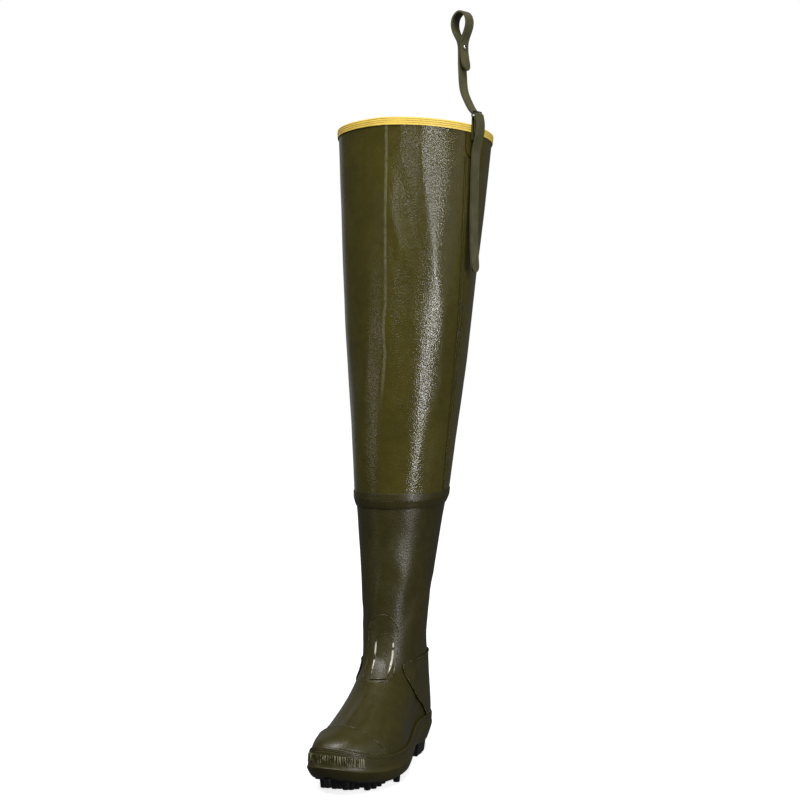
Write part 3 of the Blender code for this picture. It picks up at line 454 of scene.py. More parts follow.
def copied(node, name):
    """A CAD node's mesh as an object of its own, merged and in quads."""
    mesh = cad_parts[node].data.copy()
    mesh.name = name
    mesh.materials.clear()
    piece = bpy.data.objects.new(name, mesh)
    bpy.context.collection.objects.link(piece)
    take(piece)
    bpy.ops.object.mode_set(mode="EDIT")
    bpy.ops.mesh.select_all(action="SELECT")
    bpy.ops.mesh.remove_doubles(threshold=0.000002)
    bpy.ops.mesh.tris_convert_to_quads(face_threshold=FLAT_QUAD, shape_threshold=FLAT_QUAD)
    bpy.ops.object.mode_set(mode="OBJECT")
    bpy.ops.object.shade_smooth()
    return piece


def applied(piece, kind, **settings):
    """Adds a modifier, applies it and leaves no trace of it."""
    take(piece)
    modifier = piece.modifiers.new(kind.title(), kind)
    for key, value in settings.items():
        setattr(modifier, key, value)
    bpy.ops.object.modifier_apply(modifier=modifier.name)


def rounded(piece, width, levels, segments=2):
    """Softens the sharp edges and smooths the skin between them."""
    applied(
        piece, "BEVEL", width=width, segments=segments, limit_method="ANGLE",
        angle_limit=SHARP, use_clamp_overlap=True, harden_normals=False,
    )
    if levels:
        applied(piece, "SUBSURF", levels=levels, render_levels=levels)
    for face in piece.data.polygons:
        face.use_smooth = True


def vertices(piece):
    points = np.empty(len(piece.data.vertices) * 3)
    piece.data.vertices.foreach_get("co", points)
    return points.reshape(-1, 3)


def put_vertices(piece, points):
    piece.data.vertices.foreach_set("co", np.asarray(points, float).ravel())
    piece.data.update()


def shaped(node, name, width, levels, segments=2):
    """A copy of a CAD node with soft edges and the boot's creases."""
    piece = copied(node, name)
    rounded(piece, width, levels, segments)
    put_vertices(piece, creased(vertices(piece)))
    return piece


def seat(piece, slot, *nodes):
    """Rides a finished piece on the boot in place of CAD nodes."""
    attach(piece, "root")
    if nodes:
        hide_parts(*nodes)


def give(piece, *materials):
    for material in materials:
        piece.data.materials.append(material)


def dressed(node, name, edge, levels, segments, maker, slot):
    """A piece that stands on its own, with rounded edges and no creases."""
    piece = copied(node, name)
    rounded(piece, edge, levels, segments)
    give(piece, stock(maker))
    seat(piece, slot, node)


def laid_on(node, maker, slot):
    """A piece that lies on the skin and takes its creases."""
    piece = shaped(node, node + "_skin", bpy.context.scene.wader_sizes.edge, 2)
    give(piece, stock(maker))
    seat(piece, slot, node)


def line_inside(piece):
    """Gives the faces that look inwards the second material."""
    mesh = piece.data
    count = len(mesh.polygons)
    centres = np.empty(count * 3)
    facing = np.empty(count * 3)
    mesh.polygons.foreach_get("center", centres)
    mesh.polygons.foreach_get("normal", facing)
    centres = centres.reshape(-1, 3)
    inward = (outward(centres) * facing.reshape(-1, 3)).sum(axis=1) < INNER_FACE
    mesh.polygons.foreach_set("material_index", inward.astype(np.int32))


def mark(piece, name, values):
    """Stores one number a vertex for the materials to read."""
    layer = piece.data.attributes.new(name, "FLOAT", "POINT")
    layer.data.foreach_set("value", np.asarray(values, np.float32))


def below_rim(points):
    """How far each point lies below the plane of the rim."""
    rim = LEG_HEIGHTS[-1] - (points[:, 1] - LEG_Y[-1]) * math.tan(RIM_TILT)
    return rim - points[:, 2]


def around_foot(points):
    """The angle of each point round the middle of the foot."""
    return np.arctan2(points[:, 0] - FOOT_CORE_SIDE, FOOT_MIDDLE - points[:, 1])


def crest(points):
    """The points that no other point close by stands above, in order round the foot."""
    tree = KDTree(len(points))
    for i, point in enumerate(points):
        tree.insert((point[0], point[1], 0), i)
    tree.balance()
    top = []
    for point in points:
        near = tree.find_range((point[0], point[1], 0), CREST_REACH)
        if all(points[j][2] <= point[2] + CREST_SLACK for _, j, _ in near):
            top.append(point)
    top = np.array(top)
    return top[np.argsort(around_foot(top))]


def below(points, line):
    """How far each point lies below the line that runs round the foot."""
    height = np.interp(around_foot(points), around_foot(line), line[:, 2], period=2 * math.pi)
    return height - points[:, 2]


# Materials

class Wire:
    """A socket whose sums and products add Math nodes."""

    def __init__(self, tree, socket):
        self.tree = tree
        self.socket = socket

    def maths(self, operation, other=None, swap=False):
        node = self.tree.nodes.new("ShaderNodeMath")
        node.operation = operation
        terms = (other, self) if swap else (self, other)
        for term, entry in zip(terms, node.inputs):
            if isinstance(term, Wire):
                self.tree.links.new(term.socket, entry)
            elif term is not None:
                entry.default_value = term
        return Wire(self.tree, node.outputs[0])

    def __add__(self, other):
        return self.maths("ADD", other)

    __radd__ = __add__

    def __sub__(self, other):
        return self.maths("SUBTRACT", other)

    def __rsub__(self, other):
        return self.maths("SUBTRACT", other, swap=True)

    def __mul__(self, other):
        return self.maths("MULTIPLY", other)

    __rmul__ = __mul__

    def size(self):
        return self.maths("ABSOLUTE")


class Finish:
    """One material and the nodes behind its surface."""

    def __init__(self, name, **settings):
        self.material = bpy.data.materials.new(name)
        self.material.use_nodes = True
        self.tree = self.material.node_tree
        self.shader = self.tree.nodes["Principled BSDF"]
        coordinates = self.tree.nodes.new("ShaderNodeTexCoord")
        self.place = Wire(self.tree, coordinates.outputs["Object"])
        self.set(**settings)

    def set(self, **values):
        """Sets the shader's sockets, named with underscores for spaces."""
        for key, value in values.items():
            self.feed(self.shader.inputs[key.replace("_", " ").title().replace("Ior", "IOR")], value)

    def feed(self, entry, value):
        if isinstance(value, Wire):
            self.tree.links.new(value.socket, entry)
        elif isinstance(value, (tuple, list)) and entry.type == "RGBA":
            entry.default_value = (*value[:3], 1)
        else:
            entry.default_value = value

    def node(self, kind, settings, entries, out=0):
        """Any other node: its settings first, then its sockets."""
        node = self.tree.nodes.new(kind)
        for key, value in settings.items():
            setattr(node, key, value)
        for key, value in entries.items():
            self.feed(node.inputs[key], value)
        return Wire(self.tree, node.outputs[out])

    def grain(self, scale, detail=2.0, roughness=0.5, place=None):
        entries = {"Vector": place or self.place, "Scale": scale, "Detail": detail}
        entries["Roughness"] = roughness
        return self.node("ShaderNodeTexNoise", {}, entries)

    def cells(self, scale, feature="F1"):
        entries = {"Vector": self.place, "Scale": scale}
        return self.node("ShaderNodeTexVoronoi", {"feature": feature}, entries)

    def stretched(self, scale):
        return self.node("ShaderNodeMapping", {}, {"Vector": self.place, "Scale": scale})

    def read(self, name):
        """A number stored on the piece."""
        settings = {"attribute_type": "GEOMETRY", "attribute_name": name}
        return self.node("ShaderNodeAttribute", settings, {}, "Fac")

    def step(self, value, low, high, start=0.0, end=1.0):
        entries = {"Value": value, "From Min": low, "From Max": high, "To Min": start, "To Max": end}
        return self.node("ShaderNodeMapRange", {"interpolation_type": "SMOOTHSTEP"}, entries)

    def line(self, value, middle, half):
        """1 on a line through a value and 0 past half its width."""
        return self.step((value - middle).size(), half * 0.4, half, 1.0, 0.0)

    def lines(self, value, rows):
        """1 on each of several lines, given by their middles and half widths."""
        drawn = [self.line(value, middle, half) for middle, half in rows]
        return sum(drawn[1:], drawn[0])

    def mix(self, factor, first, second):
        settings = {"data_type": "RGBA"}
        return self.node("ShaderNodeMix", settings, {0: factor, 6: first, 7: second}, 2)

    def tint(self, factor, colour):
        """Lays a colour over the base colour that is there already."""
        under = self.shader.inputs["Base Color"].links[0].from_socket
        self.set(base_color=self.mix(factor, Wire(self.tree, under), colour))

    def bump(self, height, strength, distance, under=None):
        entries = {"Height": height, "Strength": strength, "Distance": distance}
        if under is not None:
            entries["Normal"] = under
        return self.node("ShaderNodeBump", {}, entries)


def shades(colour, amount):
    return tuple(channel * amount for channel in colour[:3])


class Rubber(Finish):
    """Olive rubber: slow shade changes, a pebbled skin and uneven sheen."""

    def __init__(self, name, colour, rough, pebbles, pebble_height):
        super().__init__(name, specular_ior_level=0.5)
        self.pebble_height = pebble_height
        slow = self.grain(14, 3)
        cloud = self.grain(90, 4, 0.6)
        fine = self.grain(pebbles * 2.3, 3, 0.6)
        tone = self.step(slow * 0.6 + cloud * 0.4, 0.36, 0.64)
        speck = self.step(fine, 0.50, 0.74)
        base = self.mix(tone, shades(colour, 0.86), shades(colour, 1.14))
        sheen = self.step(cloud, 0.3, 0.7, rough - 0.03, rough + 0.05)
        self.set(base_color=self.mix(speck * 0.22, base, shades(colour, 1.55)))
        self.set(roughness=sheen + speck * 0.05)
        self.skin = self.cells(pebbles, "SMOOTH_F1") * 0.85 + fine * 0.15
        self.under = self.bump(slow + cloud * 0.25, 0.12, 0.002)

    def sealed(self, lines=None, depth=LINE_DEPTH):
        """The finished material, with its bump and any lines on top of it."""
        normal = self.bump(self.skin, 1.0, self.pebble_height, self.under)
        if lines is not None:
            normal = self.bump(lines, 1.0, depth, normal)
        self.set(normal=normal)
        return self.material


def boot_rubber(name):
    """Satin rubber of the foot and the lower leg."""
    sizes = bpy.context.scene.wader_sizes
    return Rubber(name, sizes.boot_colour, BOOT_ROUGH, sizes.pebbles, BOOT_PEBBLE)


def shaft_rubber(name):
    """Glossier rubber of the shaft, with taller pebbles."""
    sizes = bpy.context.scene.wader_sizes
    return Rubber(name, sizes.shaft_colour, SHAFT_ROUGH, sizes.pebbles, SHAFT_PEBBLE)


def plain_boot_rubber():
    return boot_rubber("boot_rubber").sealed()


def plain_shaft_rubber():
    return shaft_rubber("shaft_rubber").sealed()


def band_rubber():
    """The side band's rubber, with two fine lines under its top edge."""
    finish = boot_rubber("band_rubber")
    lines = finish.lines(finish.read("drop"), BAND_LINES)
    return finish.sealed(1 - lines)


def tape_rubber():
    """The seam's strip: grooves that run its length, darkened with painted shade."""
    finish = shaft_rubber("tape_rubber")
    grooves = finish.lines(finish.read("across"), SEAM_GROOVES)
    # Painted shade: the grooves are darkened.
    finish.tint(grooves * 0.7, GROOVE_SHADE)
    return finish.sealed(1 - grooves)


def folded_rubber():
    """The shaft's rubber with the raised line of the front fold, tinted pale as a painted highlight.
    """
    finish = shaft_rubber("folded_rubber")
    line = finish.line(finish.read("beside"), 0.0, FOLD_LINE_HALF) * finish.read("fold_line")
    uneven = finish.step(finish.grain(130, 3), 0.30, 0.60, 0.35, 1.0)
    # Painted highlight: the fold's crest is tinted pale.
    finish.tint(line * uneven * 0.5, FOLD_HIGHLIGHT)
    return finish.sealed(line, FOLD_LINE_TALL)


def yellow_rubber():
    """The binding's yellow, with fine lines along it, darkened with painted shade."""
    colour = bpy.context.scene.wader_sizes.binding_colour
    finish = Finish("yellow_rubber", specular_ior_level=0.45)
    lines = finish.lines(finish.read("drop"), BINDING_LINES)
    slow = finish.grain(40, 3)
    fine = finish.grain(900, 2)
    base = finish.mix(finish.step(slow, 0.35, 0.65), shades(colour, 0.92), shades(colour, 1.06))
    # Painted shade: the lines are darkened.
    base = finish.mix(lines * 0.55, base, YELLOW_LINE_SHADE)
    finish.set(base_color=base, roughness=finish.step(slow, 0.3, 0.7, 0.36, 0.46))
    normal = finish.bump(fine, 0.25, 0.0002)
    finish.set(normal=finish.bump(1 - lines, 1.0, LINE_DEPTH, normal))
    return finish.material


def strap_rubber():
    """The strap's grey-green rubber, with a fine, even grain."""
    colour = bpy.context.scene.wader_sizes.strap_colour
    finish = Finish("strap_rubber", specular_ior_level=0.45)
    slow = finish.grain(60, 3)
    grain = finish.cells(1500)
    fine = finish.grain(700, 3, 0.6)
    base = finish.mix(finish.step(slow, 0.35, 0.65), shades(colour, 0.85), shades(colour, 1.12))
    base = finish.mix(finish.step(fine, 0.5, 0.75) * 0.3, base, shades(colour, 1.5))
    finish.set(base_color=base, roughness=finish.step(slow, 0.3, 0.7, 0.46, 0.58))
    finish.set(normal=finish.bump(grain + fine, 0.5, 0.00025))
    return finish.material


def black_rubber():
    """The sole's black: fine pits, slightly greyer where it has rubbed."""
    finish = Finish("black_rubber", specular_ior_level=0.5)
    slow = finish.grain(80, 4)
    fine = finish.grain(900, 3, 0.65)
    rubbed = finish.step(slow, 0.5, 0.72)
    base = finish.mix(rubbed * 0.6, SOLE_BLACK, SOLE_RUBBED)
    finish.set(base_color=base, roughness=finish.step(slow, 0.3, 0.7, 0.34, 0.5))
    finish.set(normal=finish.bump(fine, 0.4, 0.0003))
    return finish.material


def lining_cloth():
    """The knitted lining inside, with its wales."""
    finish = Finish("lining_cloth", specular_ior_level=0.25, roughness=0.9, sheen_weight=0.25)
    wales = finish.node(
        "ShaderNodeTexWave", {"bands_direction": "Z"},
        {"Vector": finish.place, "Scale": 160, "Distortion": 1.2, "Detail": 1.0, "Detail Scale": 3.0},
    )
    fine = finish.grain(1100, 3, 0.7)
    slow = finish.grain(24, 3)
    base = finish.mix(finish.step(slow, 0.35, 0.65), LINING, LINING_LIGHT)
    base = finish.mix(wales * 0.35, base, LINING_DARK)
    finish.set(base_color=base, normal=finish.bump(wales + fine * 0.8, 0.6, 0.0006))
    return finish.material


def board_felt():
    """The insole's felted face."""
    finish = Finish("board_felt", specular_ior_level=0.2, sheen_weight=0.3)
    fine = finish.grain(1300, 4, 0.8)
    slow = finish.grain(50, 3)
    base = finish.mix(finish.step(slow, 0.35, 0.65), FELT, FELT_LIGHT)
    base = finish.mix(finish.step(fine, 0.45, 0.7) * 0.4, base, FELT_HAIRS)
    finish.set(base_color=base, roughness=0.92, normal=finish.bump(fine, 0.7, 0.0006))
    return finish.material


def metal(name, colour, rough):
    """Turned or drawn metal with fine rubbed marks."""
    finish = Finish(name, metallic=1.0)
    marks = finish.grain(1600, 3, 0.6)
    dull = finish.step(finish.grain(260, 3), 0.4, 0.7)
    finish.set(base_color=finish.mix(dull * 0.5, colour, shades(colour, 0.6)))
    finish.set(roughness=marks * 0.12 + dull * 0.10 + rough)
    finish.set(normal=finish.bump(marks, 0.15, 0.0001))
    return finish.material


def pale_floor():
    """The plain floor, a little lighter than it is lit so that it runs out to white."""
    finish = Finish("pale_floor", roughness=0.9, specular_ior_level=0.0)
    away = finish.node("ShaderNodeVectorMath", {"operation": "LENGTH"}, {0: finish.place}, "Value")
    glow = finish.step(away, 0.15, 0.55, 0.80, 1.0)
    finish.set(base_color=FLOOR_GREY, emission_strength=1.0)
    finish.set(emission_color=finish.mix(glow, (0, 0, 0), (1, 1, 1)))
    return finish.material


def bright_metal():
    return metal("bright_metal", BRIGHT_STEEL, 0.18)


def dark_metal():
    return metal("dark_metal", DARK_STEEL, 0.28)


def glossy(name, pale, often, scale, patchy=False, tall=1.0):
    """Wet-looking rubber, with pale painted highlights over part of it."""
    finish = Finish(name, specular_ior_level=0.6)
    colour = bpy.context.scene.wader_sizes.boot_colour
    slow = finish.grain(scale, 2, place=finish.stretched((1, 1, 1 / tall)))
    base = finish.mix(slow, shades(colour, 0.8), shades(colour, 1.5))
    # Painted highlights: pale glints over part of the surface.
    glints = finish.step(slow, often, often + 0.07)
    if patchy:
        glints = glints * finish.read("glint_zone")
    finish.set(base_color=finish.mix(glints, base, pale))
    finish.set(roughness=finish.step(slow, 0.3, 0.7, 0.16, 0.30))
    finish.set(normal=finish.bump(slow, 0.4, 0.0005))
    return finish.material


def cement():
    return glossy("cement", CEMENT_GLINT, often=0.43, scale=90, patchy=True)


def thin_cement():
    return glossy("thin_cement", THIN_BEAD_GLINT, often=0.50, scale=230)


# The ribs' pale strokes are painted glints.
def knurl():
    return glossy("knurl", RIB_GLINT, often=0.52, scale=480, tall=7.0)


# Painted shade for the hollow middle of a rivet or stud.
def dark_eye():
    finish = Finish("dark_eye", base_color=EYE_SHADE, roughness=0.5)
    finish.set(normal=finish.bump(finish.grain(900), 0.2, 0.0002))
    return finish.material


MADE = {}


def stock(maker):
    """Each material is made once."""
    if maker not in MADE:
        MADE[maker] = maker()
    return MADE[maker]


class WaderSizes(bpy.types.PropertyGroup):
    """Sizes and colours of the wader's looks."""

    crease_depth: bpy.props.FloatProperty(
        name="Crease depth", description="Strength of all creases and dents",
        default=1.0, min=0, max=2, subtype="FACTOR",
    )
    pebbles: bpy.props.FloatProperty(
        name="Pebbles", description="Grains of the rubber's skin in a metre", default=620, min=100,
    )
    edge: bpy.props.FloatProperty(
        name="Edge", description="Rounding of the rubber's cut edges",
        default=0.0004, min=0.0001, unit="LENGTH",
    )
    rib_pitch: bpy.props.FloatProperty(
        name="Rib pitch", description="From rib to rib round the toe", default=0.0029, unit="LENGTH",
    )
    rib_height: bpy.props.FloatProperty(
        name="Rib height", description="Length of a rib of the toe", default=0.0105, unit="LENGTH",
    )
    boot_colour: bpy.props.FloatVectorProperty(
        name="Boot", description="Rubber of the foot and lower leg", subtype="COLOR", size=3,
        default=(0.037, 0.031, 0.0050), min=0, max=1,
    )
    shaft_colour: bpy.props.FloatVectorProperty(
        name="Shaft", description="Rubber of the thigh-high shaft", subtype="COLOR", size=3,
        default=(0.063, 0.053, 0.0072), min=0, max=1,
    )
    binding_colour: bpy.props.FloatVectorProperty(
        name="Binding", description="Rubber of the collar's binding", subtype="COLOR", size=3,
        default=(1.0, 0.72, 0.13), min=0, max=1,
    )
    strap_colour: bpy.props.FloatVectorProperty(
        name="Strap", description="Rubber of the belt strap", subtype="COLOR", size=3,
        default=(0.080, 0.075, 0.031), min=0, max=1,
    )


class StageSizes(bpy.types.PropertyGroup):
    """Sizes of the floor, the lights and the camera."""

    floor_radius: bpy.props.FloatProperty(
        name="Floor", description="Radius of the floor", default=9.0, unit="LENGTH",
    )
    distance: bpy.props.FloatProperty(
        name="Distance", description="From the camera to the leg", default=2.080, unit="LENGTH",
    )
    camera_height: bpy.props.FloatProperty(
        name="Camera height", description="Height of the camera", default=0.541, unit="LENGTH",
    )
    azimuth: bpy.props.FloatProperty(
        name="Azimuth", description="Turn of the camera from the toe to the outer side",
        default=math.radians(20), subtype="ANGLE",
    )
    lens: bpy.props.FloatProperty(
        name="Lens", description="Focal length in millimetres on a 36 mm sensor", default=72.27,
    )


class WaderStep:
    """What all the steps share."""

    bl_options = {"REGISTER", "UNDO"}


class WADER_OT_upper(WaderStep, bpy.types.Operator):
    """Hand-laid rubber boot from the sole to the knee"""

    bl_idname = "wader.upper"
    bl_label = "Boot upper"

    def execute(self, context):
        piece = shaped("upper", "boot_upper", context.scene.wader_sizes.edge, 2)
        give(piece, stock(plain_boot_rubber), stock(lining_cloth))
        line_inside(piece)
        seat(piece, "boot_rubber", "upper")
        return {"FINISHED"}


class WADER_OT_shaft(WaderStep, bpy.types.Operator):
    """Glossy thigh-high tube with its front fold and soft creases"""

    bl_idname = "wader.shaft"
    bl_label = "Thigh shaft"

    def execute(self, context):
        piece = shaped("shaft", "thigh_shaft", context.scene.wader_sizes.edge, 3, 1)
        points = vertices(piece)
        mark(piece, "beside", beside_fold(points, FRONT_FOLD))
        # Where the fold's raised line and its painted highlight fade in with height.
        mark(piece, "fold_line", eased(points[:, 2], *FOLD_LINE_START))
        give(piece, stock(folded_rubber), stock(lining_cloth))
        line_inside(piece)
        seat(piece, "shaft_rubber", "shaft")
        return {"FINISHED"}


class WADER_OT_bands(WaderStep, bpy.types.Operator):
    """Two bands round the knee"""

    bl_idname = "wader.bands"
    bl_label = "Knee bands"

    def execute(self, context):
        for node in ("knee_band_low", "knee_band_high"):
            laid_on(node, plain_boot_rubber, "boot_rubber")
        return {"FINISHED"}


class WADER_OT_binding(WaderStep, bpy.types.Operator):
    """Yellow binding folded over the collar"""

    bl_idname = "wader.binding"
    bl_label = "Collar binding"

    def execute(self, context):
        piece = copied("rim_binding", "collar_binding")
        rounded(piece, context.scene.wader_sizes.edge, 2)
        points = vertices(piece)
        mark(piece, "drop", below_rim(points))
        put_vertices(piece, creased(points))
        give(piece, stock(yellow_rubber))
        seat(piece, "yellow_rubber", "rim_binding")
        return {"FINISHED"}


class WADER_OT_side_band(WaderStep, bpy.types.Operator):
    """Side band round the foot, with its lines and the ribs of the toe"""

    bl_idname = "wader.side_band"
    bl_label = "Side band"

    def execute(self, context):
        sizes = context.scene.wader_sizes
        piece = copied("foxing", "side_band")
        line = crest(vertices(piece))
        rounded(piece, sizes.edge, 2)
        points = vertices(piece)
        mark(piece, "drop", below(points, line))
        put_vertices(piece, creased(points))
        give(piece, stock(band_rubber))
        seat(piece, "boot_rubber", "foxing")
        toe_ribs(piece, line, sizes.rib_pitch, sizes.rib_height)
        return {"FINISHED"}


def surface(piece):
    mesh = piece.data
    return BVHTree.FromPolygons(
        [v.co for v in mesh.vertices], [tuple(p.vertices) for p in mesh.polygons]
    )


def toe_ribs(band, line, pitch, height):
    """Short upright ribs round the toe: one is modelled, and copies are laid on the band."""
    deselect()
    bpy.ops.mesh.primitive_cube_add(size=1)
    rib = bpy.context.object
    rib.scale = (pitch * RIB_WIDTH, RIB_THICK, height)
    bpy.ops.object.transform_apply(location=True, rotation=True, scale=True)
    applied(rib, "BEVEL", width=RIB_EDGE, segments=2, limit_method="ANGLE")
    skin = surface(band)
    places = []
    for angle in np.radians(np.arange(*RIB_ARC, RIB_SEARCH)):
        way = Vector((math.sin(angle), -math.cos(angle), 0))
        core = Vector((FOOT_CORE_SIDE, TOE_CENTRE, 0))
        edge = np.array([core + way * TOE_RADIUS])
        core.z = below(edge, line)[0] - RIB_DROP
        hit, normal, _, _ = skin.ray_cast(core + way * PAST_TOE, -way)
        if hit and (not places or (hit - places[-1][0]).length >= pitch):
            places.append((hit, Vector((normal.x, normal.y, normal.z * RIB_TIP)).normalized()))
    ribs = []
    for spot, normal in places:
        piece = bpy.data.objects.new("rib", rib.data.copy())
        bpy.context.collection.objects.link(piece)
        side = Vector((0, 0, 1)).cross(normal).normalized()
        turn = np.array((side, normal, normal.cross(side)))
        put_vertices(piece, vertices(piece) @ turn + np.array(spot))
        ribs.append(piece)
    bpy.data.objects.remove(rib)
    joined = join(ribs, "toe_ribs")
    bpy.ops.object.shade_smooth()
    give(joined, stock(knurl))
    seat(joined, "boot_rubber")


def join(pieces, name):
    deselect()
    for piece in pieces:
        piece.select_set(True)
    bpy.context.view_layer.objects.active = pieces[0]
    bpy.ops.object.join()
    joined = bpy.context.object
    joined.name = name
    joined.data.name = name
    return joined


def rim_of(node):
    """The corners of a sheet's outer face, in order round its edge."""
    mesh = copied(node, "rim_trace")
    bm = bmesh.new()
    bm.from_mesh(mesh.data)
    bm.normal_update()
    centres = np.array([face.calc_center_median() for face in bm.faces])
    facing = np.array([face.normal for face in bm.faces])
    outer = (outward(centres) * facing).sum(axis=1) > OUTER_FACE
    shown = {face.index for face, out in zip(bm.faces, outer) if out}
    links = {}
    for edge in bm.edges:
        sides = [face.index in shown for face in edge.link_faces]
        if sorted(sides) == [False, True]:
            a, b = (vertex.index for vertex in edge.verts)
            links.setdefault(a, []).append(b)
            links.setdefault(b, []).append(a)
    glints = {vertex.index: vertex.co.copy() for vertex in bm.verts}
    bm.free()
    bpy.data.objects.remove(mesh)
    loop = [next(iter(links))]
    while True:
        onward = [i for i in links[loop[-1]] if i not in loop[-2:]]
        if not onward or onward[0] == loop[0] or len(loop) > len(links):
            break
        loop.append(onward[0])
    return np.array([glints[i] for i in loop])


# Beads of cement along the edges of overlays: their radius, the share by which it varies, and
# how much thinner the ends are.

BEAD_COLUMNS = ("name", "node", "radius", "lumps", "thin", "material")
BEADS = (
    ("instep_bead", "instep_patch", 0.0013, 0.6, 0.9, cement),
    ("strip_bead", "ankle_strip", 0.0006, 0.3, 0.0, thin_cement),
    ("cap_bead", "toe_cap", 0.0004, 0.3, 0.0, thin_cement),
    ("counter_bead", "counter", 0.0006, 0.3, 0.0, thin_cement),
)


def bead(name, node, radius, lumps, thin, material):
    """A squeezed-out line of rubber cement along the edge of an overlay."""
    points = rim_of(node)
    low, high = points[:, 2].min(), points[:, 2].max()
    ends = eased(points[:, 2] - low, *BEAD_FOOT)
    ends *= 1 - BEAD_TOP_THIN * (1 - eased(high - points[:, 2], *BEAD_TOP))
    stout = 1 - thin * (1 - ends)
    curve = bpy.data.curves.new(name, "CURVE")
    curve.dimensions = "3D"
    curve.bevel_depth = radius
    curve.bevel_resolution = 3
    line = curve.splines.new("NURBS")
    line.points.add(len(points) - 1)
    for i, point in enumerate(creased(points)):
        line.points[i].co = (*point, 1)
        line.points[i].radius = stout[i] * (1 + lumps * noise.noise(Vector(point) * BEAD_LUMPS))
    line.use_cyclic_u = True
    line.order_u = 3
    line.use_endpoint_u = True
    line.resolution_u = 6
    piece = bpy.data.objects.new(name, curve)
    bpy.context.collection.objects.link(piece)
    take(piece)
    bpy.ops.object.convert(target="MESH")
    piece = bpy.context.object
    piece.name = name
    bpy.ops.object.shade_smooth()
    # Between these shares of its height the bead carries painted highlights.
    share = (vertices(piece)[:, 2] - low) / (high - low)
    mark(piece, "glint_zone", eased(share, *GLINT_START) * (1 - eased(share, *GLINT_END)))
    give(piece, stock(material))
    seat(piece, "boot_rubber")


class WADER_OT_overlays(WaderStep, bpy.types.Operator):
    """Toe cap, counter, ankle strip and instep patch"""

    bl_idname = "wader.overlays"
    bl_label = "Overlays"

    def execute(self, context):
        for node in ("toe_cap", "counter", "ankle_strip", "instep_patch"):
            laid_on(node, plain_boot_rubber, "boot_rubber")
        for row in BEADS:
            bead(**dict(zip(BEAD_COLUMNS, row)))
        return {"FINISHED"}


class WADER_OT_seam(WaderStep, bpy.types.Operator):
    """Strip over the seam down the outer side"""

    bl_idname = "wader.seam"
    bl_label = "Seam strip"

    def execute(self, context):
        piece = copied("seam_tape", "seam_strip")
        rounded(piece, context.scene.wader_sizes.edge * SEAM_EDGE, 2)
        points = vertices(piece)
        turn, reach = turn_of(points)
        heights = np.linspace(points[:, 2].min(), points[:, 2].max(), SEAM_STEPS)
        middles = []
        for height in heights:
            near = np.abs(points[:, 2] - height) < SEAM_NEAR
            middles.append((turn[near].min() + turn[near].max()) / 2)
        across = np.radians(turn - np.interp(points[:, 2], heights, middles)) * reach
        mark(piece, "across", across)
        put_vertices(piece, creased(points))
        give(piece, stock(tape_rubber))
        seat(piece, "shaft_rubber", "seam_tape")
        return {"FINISHED"}


class WADER_OT_tabs(WaderStep, bpy.types.Operator):
    """Round-ended tabs under the collar"""

    bl_idname = "wader.tabs"
    bl_label = "Tabs"

    def execute(self, context):
        for node in ("strap_tab", "snap_tab"):
            laid_on(node, plain_shaft_rubber, "shaft_rubber")
        return {"FINISHED"}


class WADER_OT_sole(WaderStep, bpy.types.Operator):
    """Black outsole with its round cleats"""

    bl_idname = "wader.sole"
    bl_label = "Sole"

    def execute(self, context):
        dressed("outsole", "outsole_skin", SOLE_EDGE, 0, 3, black_rubber, "black_rubber")
        return {"FINISHED"}


class WADER_OT_heel(WaderStep, bpy.types.Operator):
    """Black heel block with its barred ground face"""

    bl_idname = "wader.heel"
    bl_label = "Heel block"

    def execute(self, context):
        dressed("heel", "heel_skin", HEEL_EDGE, 0, 3, black_rubber, "black_rubber")
        return {"FINISHED"}


class WADER_OT_insole(WaderStep, bpy.types.Operator):
    """Felted insole"""

    bl_idname = "wader.insole"
    bl_label = "Insole"

    def execute(self, context):
        dressed("insole", "insole_board", INSOLE_EDGE, 1, 2, board_felt, "board")
        return {"FINISHED"}


class WADER_OT_strap(WaderStep, bpy.types.Operator):
    """Belt strap with its loop and tail, and the ring's holder"""

    bl_idname = "wader.strap"
    bl_label = "Strap"

    def execute(self, context):
        for node, edge in (("strap", STRAP_EDGE), ("ring_holder", HOLDER_EDGE)):
            dressed(node, node + "_skin", edge, 2, 2, strap_rubber, "strap_rubber")
        return {"FINISHED"}


class WADER_OT_ring(WaderStep, bpy.types.Operator):
    """Dark wire ring at the rim"""

    bl_idname = "wader.ring"
    bl_label = "Ring"

    def execute(self, context):
        piece = copied("ring", "wire_ring")
        applied(piece, "SUBSURF", levels=2, render_levels=2)
        give(piece, stock(dark_metal))
        seat(piece, "dark_metal", "ring")
        return {"FINISHED"}


def hollow_eye(piece, radius):
    """Gives the middle of a rivet's face the second material, painted shade for its hollow."""
    middle = vertices(piece).mean(axis=0)
    way = outward(middle[None])[0]
    for face in piece.data.polygons:
        offset = np.array(face.center) - middle
        beside = np.linalg.norm(offset - way * (offset @ way))
        face.material_index = int(beside < radius)


class WADER_OT_fasteners(WaderStep, bpy.types.Operator):
    """Strap rivet and snap stud"""

    bl_idname = "wader.fasteners"
    bl_label = "Rivet and stud"

    def execute(self, context):
        for node in ("strap_rivet", "snap_stud"):
            piece = copied(node, node + "_skin")
            rounded(piece, METAL_EDGE, 2)
            give(piece, stock(bright_metal), stock(dark_eye))
            hollow_eye(piece, EYE_RADIUS)
            seat(piece, "rivet_metal", node)
        return {"FINISHED"}


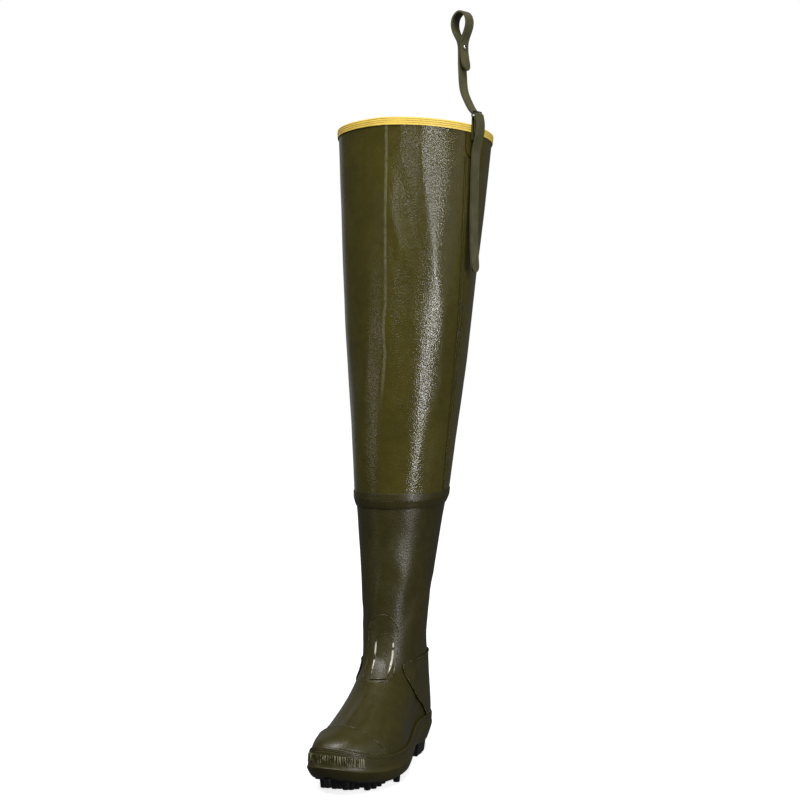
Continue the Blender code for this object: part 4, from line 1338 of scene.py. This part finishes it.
def softbox(azimuth, elevation, distance, width, height, power):
    """A soft light that faces the leg and isn't seen itself."""
    light = bpy.data.lights.new("softbox", "AREA")
    light.shape = "RECTANGLE"
    light.size = width
    light.size_y = height
    light.energy = power
    piece = bpy.data.objects.new("softbox", light)
    bpy.context.collection.objects.link(piece)
    turn, rise = math.radians(azimuth), math.radians(elevation)
    way = Vector((math.sin(turn) * math.cos(rise), -math.cos(turn) * math.cos(rise), math.sin(rise)))
    middle = Vector((0, 0, LIT_HEIGHT))
    piece.location = middle + way * distance
    piece.rotation_euler = (-way).to_track_quat("-Z", "Y").to_euler()
    piece.visible_camera = False


def studio_world():
    """A dim sky for the rubber to reflect, and white where the camera sees past the wader."""
    world = bpy.data.worlds.new("studio")
    world.use_nodes = True
    tree = world.node_tree
    seen = tree.nodes.new("ShaderNodeLightPath")
    dim = tree.nodes["Background"]
    dim.inputs["Color"].default_value = (*WORLD_COLOUR, 1)
    dim.inputs["Strength"].default_value = WORLD_STRENGTH
    white = tree.nodes.new("ShaderNodeBackground")
    white.inputs["Color"].default_value = (1, 1, 1, 1)
    white.inputs["Strength"].default_value = 1.0
    mix = tree.nodes.new("ShaderNodeMixShader")
    tree.links.new(seen.outputs["Is Camera Ray"], mix.inputs[0])
    tree.links.new(dim.outputs[0], mix.inputs[1])
    tree.links.new(white.outputs[0], mix.inputs[2])
    tree.links.new(mix.outputs[0], tree.nodes["World Output"].inputs[0])
    return world


def aimed_camera(stage):
    """The camera, turned round the leg and aimed a little beside its middle."""
    data = bpy.data.cameras.new("camera")
    data.sensor_width = SENSOR
    data.lens = stage.lens
    camera = bpy.data.objects.new("camera", data)
    bpy.context.collection.objects.link(camera)
    middle = Vector((0, LEG_CENTRE, 0))
    back = Vector((math.sin(stage.azimuth), -math.cos(stage.azimuth), 0))
    camera.location = middle + back * stage.distance
    camera.location.z = stage.camera_height
    side = Vector((math.cos(stage.azimuth), math.sin(stage.azimuth), 0))
    target = middle + side * AIM_SIDE
    target.z = AIM_HEIGHT
    camera.rotation_euler = (target - camera.location).to_track_quat("-Z", "Y").to_euler()
    return camera


class WADER_OT_stage(WaderStep, bpy.types.Operator):
    """Pale floor, soft lights and the camera"""

    bl_idname = "wader.stage"
    bl_label = "Stage"

    def execute(self, context):
        stage = context.scene.wader_stage
        deselect()
        bpy.ops.mesh.primitive_circle_add(
            vertices=96, radius=stage.floor_radius, fill_type="NGON", location=(0, 0, -FLOOR_DROP)
        )
        floor = context.object
        floor.name = "floor"
        give(floor, pale_floor())
        floor.visible_glossy = False
        floor.visible_diffuse = False
        context.scene.world = studio_world()
        for row in LIGHTS:
            softbox(**dict(zip(LIGHT_COLUMNS, row)))
        context.scene.camera = aimed_camera(stage)
        context.scene.view_settings.view_transform = "Standard"
        context.scene.view_settings.look = "None"
        return {"FINISHED"}


STEPS = (
    WADER_OT_upper, WADER_OT_shaft, WADER_OT_bands, WADER_OT_binding, WADER_OT_side_band,
    WADER_OT_overlays, WADER_OT_seam, WADER_OT_tabs, WADER_OT_sole, WADER_OT_heel,
    WADER_OT_insole, WADER_OT_strap, WADER_OT_ring, WADER_OT_fasteners, WADER_OT_stage,
)


class WADER_PT_panel(bpy.types.Panel):
    """Lists the sizes and the steps"""

    bl_idname = "WADER_PT_panel"
    bl_label = "Hip Wader"
    bl_space_type = "VIEW_3D"
    bl_region_type = "UI"
    bl_category = "Hip Wader"

    def draw(self, context):
        for group in (context.scene.wader_sizes, context.scene.wader_stage):
            for key in group.__annotations__:
                self.layout.prop(group, key)
        for step in STEPS:
            self.layout.operator(step.bl_idname)


CLASSES = (WaderSizes, StageSizes, *STEPS, WADER_PT_panel)


def register():
    for kind in CLASSES:
        bpy.utils.register_class(kind)
    bpy.types.Scene.wader_sizes = bpy.props.PointerProperty(type=WaderSizes)
    bpy.types.Scene.wader_stage = bpy.props.PointerProperty(type=StageSizes)


def unregister():
    del bpy.types.Scene.wader_stage
    del bpy.types.Scene.wader_sizes
    for kind in reversed(CLASSES):
        bpy.utils.unregister_class(kind)


def main():
    register()
    for step in STEPS:
        group, name = step.bl_idname.split(".")
        getattr(getattr(bpy.ops, group), name)()


if __name__ == "__main__":
    main()
